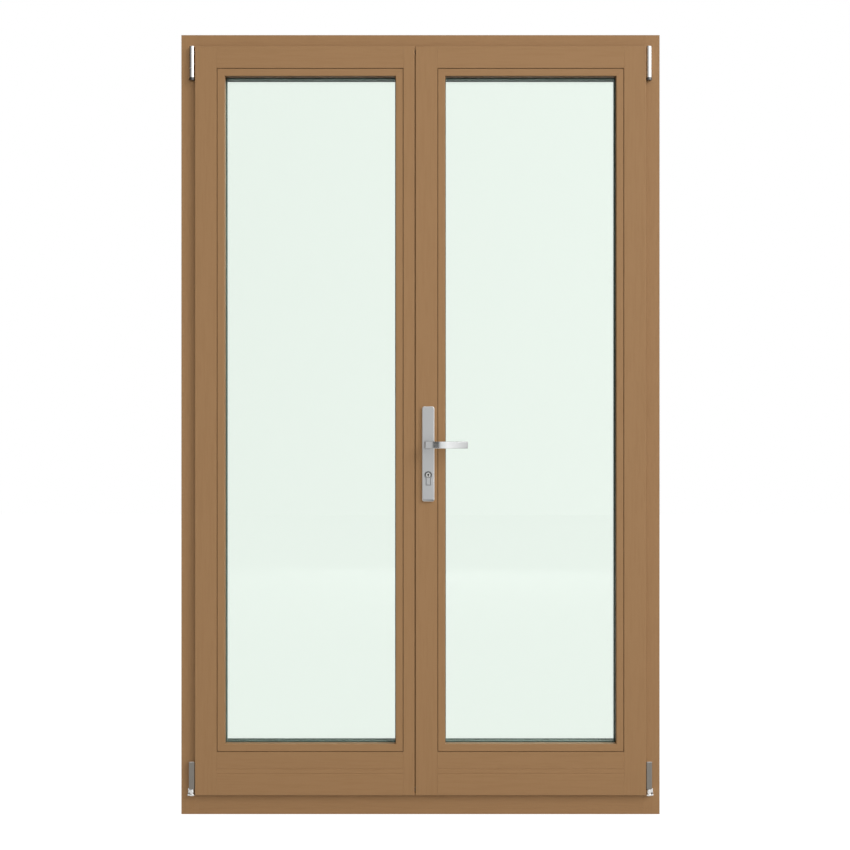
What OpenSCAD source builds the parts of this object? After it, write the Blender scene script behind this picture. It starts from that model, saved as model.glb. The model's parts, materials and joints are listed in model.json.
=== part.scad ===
// Two-leaf, inward-opening timber French door in its own frame, without the wall.
// Origin: centre of the frame's bottom face. +X right, -Y into the room, +Z up.
// The right leaf is the active one: it carries the handle and the lock. The left leaf is bolted.

/* [Overall] */
// Outer width of the frame
frame_w = 1240; // [1000:5:1800]
// Outer height of the frame
frame_h = 2020; // [1700:5:2500]
// Visible frame width beside the leaves
side_reveal = 37.5; // [32:0.5:60]
// Visible frame width above the leaves
head_reveal = 33; // [32:0.5:60]
// Visible frame height under the leaves
sill_reveal = 53; // [45:0.5:80]

/* [Frame timber] */
// Depth of the frame, front to back
frame_d = 68; // [64:1:80]
// Depth from the frame's room face to its first step
frame_step = 38; // [36:0.5:40]
// How far the frame's front part reaches behind the leaf's lip
lip_cover = 6; // [4:0.5:8]
// Clear gap between stepped timber faces
air_gap = 4; // [3:0.5:5]
// Fitting gap between the leaf's edge and the frame
rebate_gap = 12; // [11:0.5:12]

/* [Leaf timber] */
// Thickness of a leaf
leaf_t = 68; // [64:1:80]
// Thickness of the lip that laps over the frame
lip_t = 14; // [12:0.5:18]
// Visible width of stiles and top rails, without the bead
stile_w = 57; // [52:1:80]
// Visible height of the bottom rails, without the bead
bottom_rail_h = 112.5; // [80:1:180]
// Radius of the rounded front arrises
arris_r = 2; // [1:0.5:3]
// Height of the lower decorative groove above the leaf's bottom edge
groove_low = 56.5; // [50:0.5:60]
// Distance between the two decorative grooves
groove_pitch = 12; // [8:0.5:16]
// Width of a decorative groove
groove_w = 2; // [1:0.5:3]

/* [Glazing] */
// Width of the glazing bead
bead_w = 20.5; // [16:0.5:26]
// Depth of the glazing bead
bead_d = 22; // [18:0.5:24]
// How far the bead's face lies behind the leaf's face
bead_recess = 1.2; // [0:0.1:2]
// Round on the bead's inner front edge
bead_r = 3; // [1:0.5:5]
// Height of the lip that holds the glass from the outside
outer_lip_w = 14.5; // [12:0.5:26]
// Thickness of the whole glass unit
unit_t = 26; // [20:1:27]
// Thickness of one pane
pane_t = 4; // [3:1:6]
// Thickness of the glazing tapes
tape_t = 3; // [2:0.5:4]
// Clearance round the glass unit
glass_clearance = 5; // [3:0.5:6]
// Height of the spacer between the panes
spacer_h = 14; // [6:0.5:14]

/* [Hinges] */
// Distance of the hinge axis outside the leaf's lip
hinge_out = 8; // [8:0.5:10]
// Radius of the hinge barrels
barrel_r = 7.5; // [6:0.1:7.5]
// Radius of the hinge pins
hinge_pin_r = 4; // [3:0.1:4.5]
// Running clearance of pins and plugs in their bores
run_clear = 0.05; // [0.02:0.01:0.1]
// Height of the upper hinge, cap included
upper_hinge_h = 88; // [80:1:120]
// Height of the lower hinge's barrel
lower_barrel_h = 71; // [60:1:100]
// Thickness of hinge plates
plate_t = 2.5; // [2:0.25:3]

/* [Handle and lock] */
// Height of the handle's spindle above the frame's bottom face
spindle_z = 958; // [900:1:1100]
// Distance from the spindle down to the key cylinder
cylinder_drop = 78; // [74:1:92]
// Distance from the lock's faceplate to the spindle
backset = 15; // [14:0.5:16]
// Width of the backplate
plate_w = 32; // [30:1:40]
// Height of the backplate
plate_h = 245; // [220:1:280]
// Corner radius of the backplate
plate_corner_r = 5.5; // [2:0.5:10]
// Thickness of the backplate
backplate_t = 8; // [5:0.5:10]
// Height of the lever's bar
lever_h = 18; // [14:1:22]
// Reach of the lever's tip from its spindle
lever_reach = 101; // [90:1:120]
// Thickness of the lever's bar
lever_t = 8; // [6:0.5:10]
// Pitch radius of the gear on the spindle
gear_r = 8; // [8:0.5:8]
// Width of the locking rods
rod_w = 8; // [6:0.5:8]
// Thickness of the locking rods
rod_t = 4; // [3:0.5:4]

/* [Fixings] */
// Radius of the holes for the wall screws
fixing_r = 3.75; // [3:0.25:5]
// Distance of the outermost wall screws from the frame's ends
fixing_inset = 160; // [120:5:250]

/* [Hidden] */
$fn = 48;
EPS = 0.01;
TIMBER = "#99774f";
CHROME = "#c9cac8";
STEEL = "#b2b6b6";
RUBBER = "#2c2c2a";
GLASS = [0.88, 0.95, 0.91, 0.35];

// Depth levels, from the room side to the outside
frame_front = -frame_d / 2;
frame_back = frame_d / 2;
lip_back = frame_front - air_gap;
leaf_front = lip_back - lip_t;
leaf_back = leaf_front + leaf_t;
step_1 = frame_front + frame_step;
step_2 = leaf_back + air_gap;
leaf_step = step_1 - 2 * air_gap;
unit_front = leaf_front + bead_d + tape_t;
unit_back = unit_front + unit_t;
glaze_seat = unit_back + tape_t;

// Steps of the leaf's edge, measured inwards from its lip
edge_in = lip_cover + rebate_gap;
edge_in_2 = edge_in + 2 * air_gap;
// Steps of the frame, measured inwards from the leaf's lip line
frame_in_1 = lip_cover;
frame_in_2 = edge_in_2 - air_gap;
frame_in_3 = edge_in_2 + 14.5;

// Outline of the leaves
lip_x = frame_w / 2 - side_reveal;
leaf_z0 = sill_reveal;
leaf_z1 = frame_h - head_reveal;
// The active leaf's meeting lip lies left of the middle, so that its rebate straddles it
meet_x = -13;
active_edge_x = meet_x + edge_in;
active_edge_x2 = meet_x + edge_in_2;
passive_edge_x = active_edge_x - rebate_gap;
passive_nose_x = active_edge_x2 - air_gap;
passive_front_x = meet_x - 2;
glass_x0 = meet_x + stile_w;
glass_x1 = lip_x - stile_w;
glass_z0 = leaf_z0 + bottom_rail_h;
glass_z1 = leaf_z1 - stile_w;

// Bridle joints: the tongue of each rail in its stile
tongue_y0 = leaf_step - 18;
tongue_y1 = leaf_step - 4;
blind_tongue = 27;

// Weather seal between frame and leaf
seal_in = frame_in_2 - 3.5;
seal_w = 3;
seal_gap = 0.3;
seal_root = 3;

// Rain rail on the bottom of the frame
sill_back_h = 46;
rain_leg_t = 4;
rain_wall_t = 2;
rain_back = frame_back + 4;
cap_t = 3;

// Hinges
hinge_x = lip_x + hinge_out;
hinge_y = leaf_front + 9;
upper_z1 = leaf_z1 + 1;
upper_z0 = upper_z1 - upper_hinge_h;
pin_cap_h = 6.7;
pin_seat = 6;
eye_z0 = upper_z0 + pin_cap_h + 0.3;
eye_z1 = eye_z0 + 22.7;
bearing_z0 = eye_z1 + 0.3;
foot_z0 = leaf_z0 - 2;
foot_z1 = foot_z0 + 17;
barrel_z0 = foot_z1 + 0.5;
barrel_z1 = barrel_z0 + lower_barrel_h;
foot_base_h = 4.4;
foot_neck_h = 3.7;
foot_reach = 11.5;
foot_pin_z = foot_z0 + 5;
bearing_half_w = 6.5;
pivot_h = 32;
arm_leg = 30;
arm_y1 = lip_back + plate_t;

// Where rods and bolts end at rest
rod_end_gap = 1.5;
head_under = frame_h - head_reveal - frame_in_1;
sill_top = sill_reveal + frame_in_1;
rod_top = head_under - rod_end_gap;
rod_bottom = sill_top + rod_end_gap;

// Handle and lock
handle_x = active_edge_x + backset;
cylinder_z = spindle_z - cylinder_drop;
plate_z0 = cylinder_z - 68;
plate_z1 = plate_z0 + plate_h;
plate_y = leaf_front - backplate_t;
faceplate_t = 2.5;
faceplate_w = 16;
lock_y = leaf_front + 27;
groove_x = active_edge_x + faceplate_t;
rod_gap = 0.5;
rod_x0 = groove_x + rod_gap;
case_x1 = groove_x + 26.5;
case_wall = 1.5;
case_y0 = lock_y - 7.5;
case_y1 = lock_y + 7.5;
case_z0 = cylinder_z - 35;
case_z1 = spindle_z + 47;
neck_r = 9;
spindle_w = 7;
teeth = 16;
tooth_pitch = PI * 2 * gear_r / teeth;
tip_h = 0.8;
root_h = 1.1;
rack_gap = 0.3;
left_rack_x = handle_x - gear_r;
right_rack_x = handle_x + gear_r;
rod_stroke = gear_r * PI / 2;
jog_z0 = case_z0 - 27;
cam_r = 3;
cam_tip = 7;
cam_zs_top = [for (part = [1 / 3, 0.775]) spindle_z + part * (rod_top - spindle_z)];
cam_zs_bottom = [for (part = [0.73, 0.4]) spindle_z - part * (spindle_z - rod_bottom)];
plug_r = 6;
cylinder_r = 8.5;
web_w = 10;
cylinder_gap = 1.2;
bolt_z = cylinder_z + 27;
bolt_h = 18;
bolt_w = 10;
bolt_l = 22;
bolt_throw = 20;

// Flush bolts of the passive leaf
flush_y = lock_y + 14;
flush_w = 12;
flush_l = 290;
flush_rod_w = 7;
flush_travel = 14;
knob_inset = 90;

fixing_zs = [for (i = [0:3]) fixing_inset + i * (frame_h - 2 * fixing_inset) / 3];
fixing_y = frame_front + 19;

// ---------- shapes ----------

module box(x0, x1, y0, y1, z0, z1) {
    translate([x0, y0, z0]) cube([x1 - x0, y1 - y0, z1 - z0]);
}

// A plan outline of [x, y] points, stood up from z0 to z1
module post(outline, z0, z1) {
    translate([0, 0, z0]) linear_extrude(z1 - z0) polygon(outline);
}

// A section of [y, z] points, run from x0 to x1
module run_x(section, x0, x1) {
    translate([x0, 0, 0]) rotate([90, 0, 90]) linear_extrude(x1 - x0) polygon(section);
}

// A face outline of [x, z] points, run from y0 back to y1
module slab(outline, y0, y1) {
    translate([0, y1, 0]) rotate([90, 0, 0]) linear_extrude(y1 - y0) polygon(outline);
}

module peg_x(x0, x1, y, z, r) {
    translate([x0, y, z]) rotate([0, 90, 0]) cylinder(h = x1 - x0, r = r);
}

module peg_y(x, y0, y1, z, r) {
    translate([x, y0, z]) rotate([-90, 0, 0]) cylinder(h = y1 - y0, r = r);
}

module peg_z(x, y, z0, z1, r) {
    translate([x, y, z0]) cylinder(h = z1 - z0, r = r);
}

module both_sides() {
    children();
    mirror([1, 0, 0]) children();
}

module left_side() {
    mirror([1, 0, 0]) children();
}

// A countersunk screw whose head lies flush at the origin and whose shank runs along +Z
module screw(length) {
    cylinder(h = plate_t, r1 = 4, r2 = 2);
    translate([0, 0, plate_t]) cylinder(h = length - plate_t, r = 2);
}

// Points of a rounded corner about [cx, cy], from angle a0 to a1
function corner(cx, cy, r, a0, a1, n = 5) =
    [for (i = [0:n]) let (a = a0 + (a1 - a0) * i / n) [cx + r * cos(a), cy + r * sin(a)]];

// Leaf section as [distance from the lip, depth], the part in front of the glazing seat
function leaf_front_section(face) = concat(
    [[0, lip_back]],
    corner(arris_r, leaf_front + arris_r, arris_r, 180, 270),
    [[face, leaf_front], [face, glaze_seat], [edge_in_2, glaze_seat], [edge_in_2, leaf_step],
     [edge_in, leaf_step], [edge_in, lip_back]]);

// The part behind the glazing seat
function leaf_back_section(face) =
    [[edge_in_2, glaze_seat], [face + outer_lip_w, glaze_seat],
     [face + outer_lip_w, leaf_back], [edge_in_2, leaf_back]];

// ---------- frame ----------

// Frame section as [distance from the outer face, depth]
function frame_section(reveal) =
    [[0, frame_front], [reveal + frame_in_1, frame_front], [reveal + frame_in_1, step_1],
     [reveal + frame_in_2, step_1], [reveal + frame_in_2, step_2], [reveal + frame_in_3, step_2],
     [reveal + frame_in_3, frame_back], [0, frame_back]];

joint_y0 = frame_front + 13;
joint_y1 = frame_front + 27;
jamb_in = frame_w / 2 - side_reveal;

module frame_tongues() {
    tongue = side_reveal + frame_in_1;
    for (z = [[0, sill_top], [head_under, frame_h]])
        box(frame_w / 2 - tongue, frame_w / 2, joint_y0, joint_y1, z[0], z[1]);
}

module right_jamb() {
    difference() {
        post([for (p = frame_section(side_reveal)) [frame_w / 2 - p[0], p[1]]], 0, frame_h);
        frame_tongues();
        seal_root_ring();
        for (z = fixing_zs)
            peg_x(frame_w / 2 - side_reveal - frame_in_1 - 1, frame_w / 2 + 1, fixing_y, z, fixing_r);
        frame_hardware_holes();
    }
}

module frame_left_jamb() { color(TIMBER) left_side() right_jamb(); }
module frame_right_jamb() { color(TIMBER) right_jamb(); }

// One box layer of a cross member, between the jambs' stepped faces
module cross_layer(inset, y0, y1, z0, z1) {
    half = jamb_in - inset;
    box(-half, half, y0, y1, z0, z1);
}

module frame_head() {
    color(TIMBER) difference() {
        union() {
            cross_layer(frame_in_1, frame_front, step_1, head_under, frame_h);
            cross_layer(frame_in_2, step_1, step_2, frame_h - head_reveal - frame_in_2, frame_h);
            cross_layer(frame_in_3, step_2, frame_back, frame_h - head_reveal - frame_in_3, frame_h);
            both_sides() frame_tongues_head();
        }
        seal_root_ring();
        frame_hardware_holes();
    }
}

module frame_tongues_head() {
    intersection() {
        frame_tongues();
        box(0, frame_w, frame_front, frame_back, frame_h / 2, frame_h);
    }
}

module frame_bottom_rail() {
    half = jamb_in - frame_in_3;
    color(TIMBER) difference() {
        union() {
            cross_layer(frame_in_1, frame_front, step_1, 0, sill_top);
            run_x([[step_1, 0], [frame_back, 0], [frame_back, sill_back_h - 4],
                [step_1, sill_back_h]], -half, half);
            cross_layer(frame_in_2, step_1, step_2, 0, sill_back_h - 4);
            both_sides() intersection() {
                frame_tongues();
                box(0, frame_w, frame_front, frame_back, 0, frame_h / 2);
            }
        }
        frame_hardware_holes();
    }
}

// Seal strip all round, between the frame's step and the leaf's step
module seal_ring(y0, y1) {
    x = jamb_in - seal_in;
    z0 = leaf_z0 + seal_in;
    z1 = leaf_z1 - seal_in;
    difference() {
        box(-x, x, y0, y1, z0, z1);
        box(-x + seal_w, x - seal_w, y0 - 1, y1 + 1, z0 + seal_w, z1 - seal_w);
    }
}

module seal_root_ring() { seal_ring(step_1, step_1 + seal_root); }

module frame_weather_seal() { color(RUBBER) seal_ring(leaf_step + seal_gap, step_1 + seal_root); }

rain_z1 = leaf_z0 + edge_in_2 + 14.5;
rain_leg_z1 = leaf_z0 + seal_in + seal_w + 2;
rain_slot_xs = [for (part = [-0.69, -0.22, 0.22, 0.69]) part * jamb_in];
rain_slot_half_w = 12;
rain_screw_xs = [for (i = [-2:2]) i * (jamb_in - 82.5) / 2];

module rain_rail() {
    half = jamb_in - frame_in_3 - cap_t;
    slope = 4 / (frame_back - step_1);
    base = function (y) sill_back_h - (y - step_1) * slope;
    color("#b9bcbd") difference() {
        run_x([
            [step_1, base(step_1)], [rain_back, base(rain_back)], [rain_back, base(rain_back) - 8],
            [rain_back + rain_wall_t, base(rain_back) - 8],
            [rain_back + rain_wall_t, base(rain_back) + rain_wall_t],
            [step_2 + rain_wall_t, base(step_2) + rain_wall_t + 1], [step_2 + rain_wall_t, rain_z1],
            [step_2, rain_z1], [step_2, base(step_2) + rain_wall_t],
            [step_1 + rain_leg_t, base(step_1) + rain_wall_t], [step_1 + rain_leg_t, rain_leg_z1],
            [step_1, rain_leg_z1]], -half, half);
        seal_root_ring();
        frame_screw_set();
        // slots that let the rain out
        for (x = rain_slot_xs)
            box(x - rain_slot_half_w, x + rain_slot_half_w, step_2 - 1, step_2 + rain_wall_t + 1,
                base(step_2) + 4, base(step_2) + 10);
    }
}

module rain_rail_end_caps() {
    x1 = jamb_in - frame_in_3;
    color(RUBBER) both_sides() difference() {
        run_x([[step_1, sill_back_h], [frame_back, sill_back_h - 4], [rain_back, sill_back_h - 4.5],
            [rain_back, rain_leg_z1 - 12], [step_2 + rain_wall_t, rain_z1], [step_2, rain_z1],
            [step_2, rain_leg_z1], [step_1, rain_leg_z1]], x1 - cap_t, x1);
        seal_root_ring();
    }
}

// ---------- hinges ----------

dowel_zs = [18, 46];
dowel_r = 3.5;
dowel_l = 18;
foot_dowel_zs = [5, 12];
foot_dowel_r = 2.5;

module upper_dowels(y0) {
    for (z = dowel_zs) peg_y(hinge_x, y0, frame_front + dowel_l, bearing_z0 + z, dowel_r);
}

module foot_dowels(y0) {
    for (z = foot_dowel_zs) peg_y(hinge_x - 2, y0, frame_front + dowel_l, foot_z0 + z, foot_dowel_r);
}

module upper_bearing() {
    difference() {
        union() {
            peg_z(hinge_x, hinge_y, bearing_z0, upper_z1, barrel_r);
            box(hinge_x - bearing_half_w, hinge_x + bearing_half_w, hinge_y, frame_front,
                bearing_z0, upper_z1);
            upper_dowels(frame_front);
        }
        peg_z(hinge_x, hinge_y, bearing_z0 - 1, upper_z1 - pin_seat, hinge_pin_r);
    }
}

module upper_hinge_bearings() { color(CHROME) both_sides() upper_bearing(); }

module foot_screw() { peg_y(hinge_x + 9, frame_front - 3.5, frame_front + 16.5, foot_z0 + 6.25, 1.8); }

// Foot of the lower hinge: a base, a narrow neck and a flared head that carries the pivot pin
module lower_bearing() {
    flare_z0 = foot_z0 + foot_base_h + foot_neck_h;
    flare_y0 = hinge_y - 3;
    difference() {
        union() {
            peg_z(hinge_x, hinge_y, foot_z0, foot_z0 + foot_base_h, barrel_r);
            box(hinge_x, hinge_x + foot_reach, flare_y0, frame_front, foot_z0, foot_z0 + foot_base_h);
            peg_z(hinge_x, hinge_y, foot_z0, foot_z1, barrel_r - 1.5);
            translate([hinge_x, hinge_y, flare_z0])
                cylinder(h = foot_z1 - flare_z0, r1 = barrel_r, r2 = barrel_r - 1);
            slab([[hinge_x, flare_z0], [hinge_x + foot_reach, flare_z0],
                [hinge_x + barrel_r - 1, foot_z1], [hinge_x, foot_z1]], flare_y0, frame_front);
            box(hinge_x - bearing_half_w, hinge_x + foot_reach, frame_front - 3.5, frame_front,
                foot_z0, foot_z1);
            foot_dowels(frame_front);
        }
        peg_z(hinge_x, hinge_y, foot_pin_z, foot_z1 + 1, hinge_pin_r);
        foot_screw();
    }
}

module lower_hinge_bearings() { color(CHROME) both_sides() lower_bearing(); }

module hinge_pins() {
    color(STEEL) both_sides() {
        peg_z(hinge_x, hinge_y, upper_z0 + pin_cap_h, upper_z1 - pin_seat, hinge_pin_r);
        peg_z(hinge_x, hinge_y, upper_z0, upper_z0 + pin_cap_h, barrel_r);
        peg_z(hinge_x, hinge_y, foot_pin_z, foot_z1 + pivot_h, hinge_pin_r);
    }
}

// Angle plate that grips the back of the lip and the leaf's edge
module hinge_arm(z0, z1) {
    edge_x = lip_x - edge_in;
    box(edge_x, hinge_x, lip_back, arm_y1, z0, z1);
    box(edge_x, edge_x + plate_t, lip_back, lip_back + arm_leg, z0, z1);
}

function arm_screw_zs(z0, z1) = [z0 + 6.5, z1 - 6.5];

module arm_screws(z0, z1) {
    for (z = arm_screw_zs(z0, z1), y = [lip_back + 12, lip_back + 23])
        translate([lip_x - edge_in + plate_t, y, z]) rotate([0, -90, 0]) screw(25);
}

upper_arm_z = [eye_z0, eye_z1];
lower_arm_z = [barrel_z0 + 12, barrel_z1 - 2];

module upper_arm() {
    difference() {
        union() {
            peg_z(hinge_x, hinge_y, eye_z0, eye_z1, barrel_r);
            hinge_arm(upper_arm_z[0], upper_arm_z[1]);
        }
        peg_z(hinge_x, hinge_y, eye_z0 - 1, eye_z1 + 1, hinge_pin_r + run_clear);
        arm_screws(upper_arm_z[0], upper_arm_z[1]);
    }
}

// Flat front of the lower barrel, with bevelled edges
sleeve_outline = [for (p = [[-1, 0], [-1, -0.8], [-0.8, -1], [0.8, -1], [1, -0.8], [1, 0]])
    [hinge_x + p[0] * barrel_r, hinge_y + p[1] * barrel_r]];

module lower_arm() {
    difference() {
        union() {
            peg_z(hinge_x, hinge_y, barrel_z0, barrel_z1, barrel_r);
            post(sleeve_outline, barrel_z0, barrel_z1);
            hinge_arm(lower_arm_z[0], lower_arm_z[1]);
        }
        peg_z(hinge_x, hinge_y, barrel_z0 - 1, foot_z1 + pivot_h + 1, hinge_pin_r + run_clear);
        arm_screws(lower_arm_z[0], lower_arm_z[1]);
    }
}

module right_upper_hinge_arm() { color(CHROME) upper_arm(); }
module right_lower_hinge_arm() { color(CHROME) lower_arm(); }
module left_upper_hinge_arm() { color(CHROME) left_side() upper_arm(); }
module left_lower_hinge_arm() { color(CHROME) left_side() lower_arm(); }

// ---------- keeps and screws of the frame ----------

keep_x0 = -28;
keep_x1 = 28;
keep_t = 2.5;
keep_y0 = lock_y - 8;
keep_y1 = flush_y + 8;
flush_rod_x0 = passive_edge_x - 7;
keep_screw_xs = [-23, 23];
rod_hole_l = 18;

// Clear holes for the rod and the bolt, through keeps and timber
module rod_holes(z0, z1) {
    clear = 0.6;
    box(rod_x0 - clear, rod_x0 + rod_t + clear,
        lock_y - rod_w / 2 - clear, lock_y + rod_w / 2 + clear, z0, z1);
    box(flush_rod_x0 - clear, flush_rod_x0 + rod_t + clear,
        flush_y - flush_rod_w / 2 - clear, flush_y + flush_rod_w / 2 + clear, z0, z1);
}

module keep_plate(z0) {
    difference() {
        box(keep_x0, keep_x1, keep_y0, keep_y1, z0, z0 + keep_t);
        rod_holes(z0 - 1, z0 + keep_t + 1);
        frame_screw_set();
    }
}

module frame_keeps() {
    color(STEEL) {
        keep_plate(head_under);
        keep_plate(sill_top - keep_t);
    }
}

module frame_screw_set() {
    for (x = keep_screw_xs) {
        translate([x, (lock_y + flush_y) / 2, head_under]) screw(25);
        translate([x, (lock_y + flush_y) / 2, sill_top]) rotate([180, 0, 0]) screw(25);
    }
    for (x = rain_screw_xs)
        translate([x, step_2 - 6, sill_back_h + 1]) rotate([180, 0, 0]) screw(20);
    both_sides() foot_screw();
}

module frame_screws() { color(STEEL) frame_screw_set(); }

// Everything that is let into the frame's timber
module frame_hardware_holes() {
    box(keep_x0, keep_x1, keep_y0, keep_y1, head_under - 1, head_under + keep_t);
    box(keep_x0, keep_x1, keep_y0, keep_y1, sill_top - keep_t, sill_top + 1);
    rod_holes(head_under, head_under + rod_hole_l);
    rod_holes(sill_top - rod_hole_l, sill_top);
    frame_screw_set();
    both_sides() {
        upper_dowels(frame_front - 1);
        foot_dowels(frame_front - 1);
    }
}

// ---------- leaves: timber ----------

// Cuts the stepped edge into the ends of a stile, and rounds its front arrises there
module stile_end_cuts() {
    for (top = [0, 1])
        translate([0, 0, top == 1 ? leaf_z1 : leaf_z0]) mirror([0, 0, top]) {
            box(-frame_w, frame_w, leaf_step, leaf_back + 1, -1, edge_in_2);
            box(-frame_w, frame_w, lip_back, leaf_step + EPS, -1, edge_in);
            translate([0, leaf_front, 0]) difference() {
                box(-frame_w, frame_w, -1, arris_r, -1, arris_r);
                peg_x(-frame_w - 1, frame_w + 1, arris_r, arris_r, arris_r);
            }
        }
}

// A stile whose lip lies at lip, running inwards towards +X when dir is 1
module stile(lip, dir) {
    difference() {
        union() {
            post([for (p = leaf_front_section(stile_w)) [lip + dir * p[0], p[1]]], leaf_z0, leaf_z1);
            post([for (p = leaf_back_section(stile_w)) [lip + dir * p[0], p[1]]], leaf_z0, leaf_z1);
        }
        stile_end_cuts();
    }
}

// Tongues of both rails, from x0 to x1
module tongues(x0, x1) {
    box(x0, x1, tongue_y0, tongue_y1, leaf_z0 + edge_in, glass_z0);
    box(x0, x1, tongue_y0, tongue_y1, glass_z1, leaf_z1 - edge_in);
}

module hinge_stile() {
    difference() {
        stile(lip_x, -1);
        tongues(glass_x1, lip_x);
        arm_screws(upper_arm_z[0], upper_arm_z[1]);
        arm_screws(lower_arm_z[0], lower_arm_z[1]);
    }
}

// A rail of the right leaf, between its stiles; lip is its lip line and dir points inwards
module rail(lip, dir, face, z0, z1, tongue_x0) {
    bar = function (pts) [for (p = pts) [p[1], lip + dir * p[0]]];
    run_x(bar(leaf_front_section(face)), glass_x0, glass_x1);
    run_x(bar(leaf_back_section(face)), glass_x0 + outer_lip_w, glass_x1 - outer_lip_w);
    box(tongue_x0, glass_x0, tongue_y0, tongue_y1, z0, z1);
    box(glass_x1, lip_x - edge_in, tongue_y0, tongue_y1, z0, z1);
}

module top_rail() {
    rail(leaf_z1, -1, stile_w, glass_z1, leaf_z1 - edge_in, glass_x0 - blind_tongue);
}

module bottom_rail() {
    difference() {
        rail(leaf_z0, 1, bottom_rail_h, leaf_z0 + edge_in, glass_z0, glass_x0 - blind_tongue);
        for (z = [groove_low, groove_low + groove_pitch])
            run_x([[leaf_front - 1, leaf_z0 + z - groove_w], [leaf_front - 1, leaf_z0 + z + groove_w],
                [leaf_front + groove_w / 2, leaf_z0 + z]], glass_x0 - 1, glass_x1 + 1);
        arm_screws(lower_arm_z[0], lower_arm_z[1]);
        // drip groove under the outer lip
        box(glass_x0, glass_x1, leaf_back - 9, leaf_back - 5,
            leaf_z0 + edge_in_2 - 1, leaf_z0 + edge_in_2 + 4);
    }
}

module right_hinge_stile() { color(TIMBER) hinge_stile(); }
module left_hinge_stile() { color(TIMBER) left_side() hinge_stile(); }
module right_top_rail() { color(TIMBER) top_rail(); }
module right_bottom_rail() { color(TIMBER) bottom_rail(); }
module left_top_rail() { color(TIMBER) left_side() top_rail(); }
module left_bottom_rail() { color(TIMBER) left_side() bottom_rail(); }

module right_meeting_stile() {
    color(TIMBER) difference() {
        stile(meet_x, 1);
        tongues(glass_x0 - blind_tongue, glass_x0 + 1);
        lock_pockets();
    }
}

module left_meeting_stile() {
    front_x = -glass_x0;
    color(TIMBER) difference() {
        union() {
            post(concat([[front_x, glaze_seat], [front_x, leaf_front]],
                corner(passive_front_x - 1, leaf_front + 1, 1, 270, 360, 3),
                [[passive_front_x, frame_front], [passive_edge_x, frame_front],
                 [passive_edge_x, glaze_seat]]),
                leaf_z0, leaf_z1);
            post([[front_x - outer_lip_w, glaze_seat], [passive_edge_x, glaze_seat],
                [passive_edge_x, step_1], [passive_nose_x, step_1], [passive_nose_x, leaf_back],
                [front_x - outer_lip_w, leaf_back]], leaf_z0, leaf_z1);
        }
        stile_end_cuts();
        left_side() tongues(glass_x0 - blind_tongue, glass_x0 + 1);
        meeting_seal_root();
        flush_bolt_pockets();
        keep_pockets();
        astragal_screws();
    }
}

// ---------- leaves: glazing ----------

// Bead section as [distance from the rebate wall, depth]
bead_front = leaf_front + bead_recess;
bead_back = leaf_front + bead_d;
bead_gap = 0.5;
bead_gap_d = 2;
bead_section = concat(
    [[0, bead_back], [0, bead_front + bead_gap_d], [bead_gap, bead_front + bead_gap_d],
     [bead_gap, bead_front]],
    corner(bead_w - bead_r, bead_front + bead_r, bead_r, 270, 360, 6), [[bead_w, bead_back]]);

module side_beads() {
    for (side = [0, 1]) {
        wall = side == 0 ? glass_x0 : glass_x1;
        dir = side == 0 ? 1 : -1;
        intersection() {
            post([for (p = bead_section) [wall + dir * p[0], p[1]]], glass_z0, glass_z1);
            slab([[wall, glass_z0], [wall + dir * bead_w, glass_z0 + bead_w],
                [wall + dir * bead_w, glass_z1 - bead_w], [wall, glass_z1]],
                leaf_front, bead_back + 1);
        }
    }
}

module rail_beads() {
    for (side = [0, 1]) {
        wall = side == 0 ? glass_z0 : glass_z1;
        dir = side == 0 ? 1 : -1;
        intersection() {
            run_x([for (p = bead_section) [p[1], wall + dir * p[0]]], glass_x0, glass_x1);
            slab([[glass_x0, wall], [glass_x0 + bead_w, wall + dir * bead_w],
                [glass_x1 - bead_w, wall + dir * bead_w], [glass_x1, wall]],
                leaf_front, bead_back + 1);
        }
    }
}

// A plate or ring of the glass opening, set in from the rebate wall
module glazing_layer(y0, y1, inset, ring = 0) {
    x0 = glass_x0 + inset;
    x1 = glass_x1 - inset;
    z0 = glass_z0 + inset;
    z1 = glass_z1 - inset;
    difference() {
        box(x0, x1, y0, y1, z0, z1);
        if (ring > 0) box(x0 + ring, x1 - ring, y0 - 1, y1 + 1, z0 + ring, z1 - ring);
    }
}

tape_inset = 4;
spacer_inset = 3;
block_inset = 70;
block_l = 100;

module inner_pane() { glazing_layer(unit_front, unit_front + pane_t, glass_clearance); }
module outer_pane() { glazing_layer(unit_back - pane_t, unit_back, glass_clearance); }
module spacer() {
    glazing_layer(unit_front + pane_t, unit_back - pane_t, glass_clearance + spacer_inset, spacer_h);
}
module glazing_tapes() {
    glazing_layer(unit_front - tape_t, unit_front, tape_inset, bead_w - tape_inset - 1);
    glazing_layer(unit_back, unit_back + tape_t, tape_inset, outer_lip_w - tape_inset - 1);
}
module setting_blocks() {
    for (x = [glass_x0 + block_inset, glass_x1 - block_inset - block_l])
        box(x, x + block_l, unit_front, unit_back, glass_z0, glass_z0 + glass_clearance);
}

module right_side_beads() { color(TIMBER) side_beads(); }
module right_rail_beads() { color(TIMBER) rail_beads(); }
module right_inner_pane() { color(GLASS) inner_pane(); }
module right_outer_pane() { color(GLASS) outer_pane(); }
module right_spacer() { color("#6d7573") spacer(); }
module right_glazing_tapes() { color(RUBBER) glazing_tapes(); }
module right_setting_blocks() { color("#4c4c48") setting_blocks(); }
module left_side_beads() { color(TIMBER) left_side() side_beads(); }
module left_rail_beads() { color(TIMBER) left_side() rail_beads(); }
module left_inner_pane() { color(GLASS) left_side() inner_pane(); }
module left_outer_pane() { color(GLASS) left_side() outer_pane(); }
module left_spacer() { color("#6d7573") left_side() spacer(); }
module left_glazing_tapes() { color(RUBBER) left_side() glazing_tapes(); }
module left_setting_blocks() { color("#4c4c48") left_side() setting_blocks(); }

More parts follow.
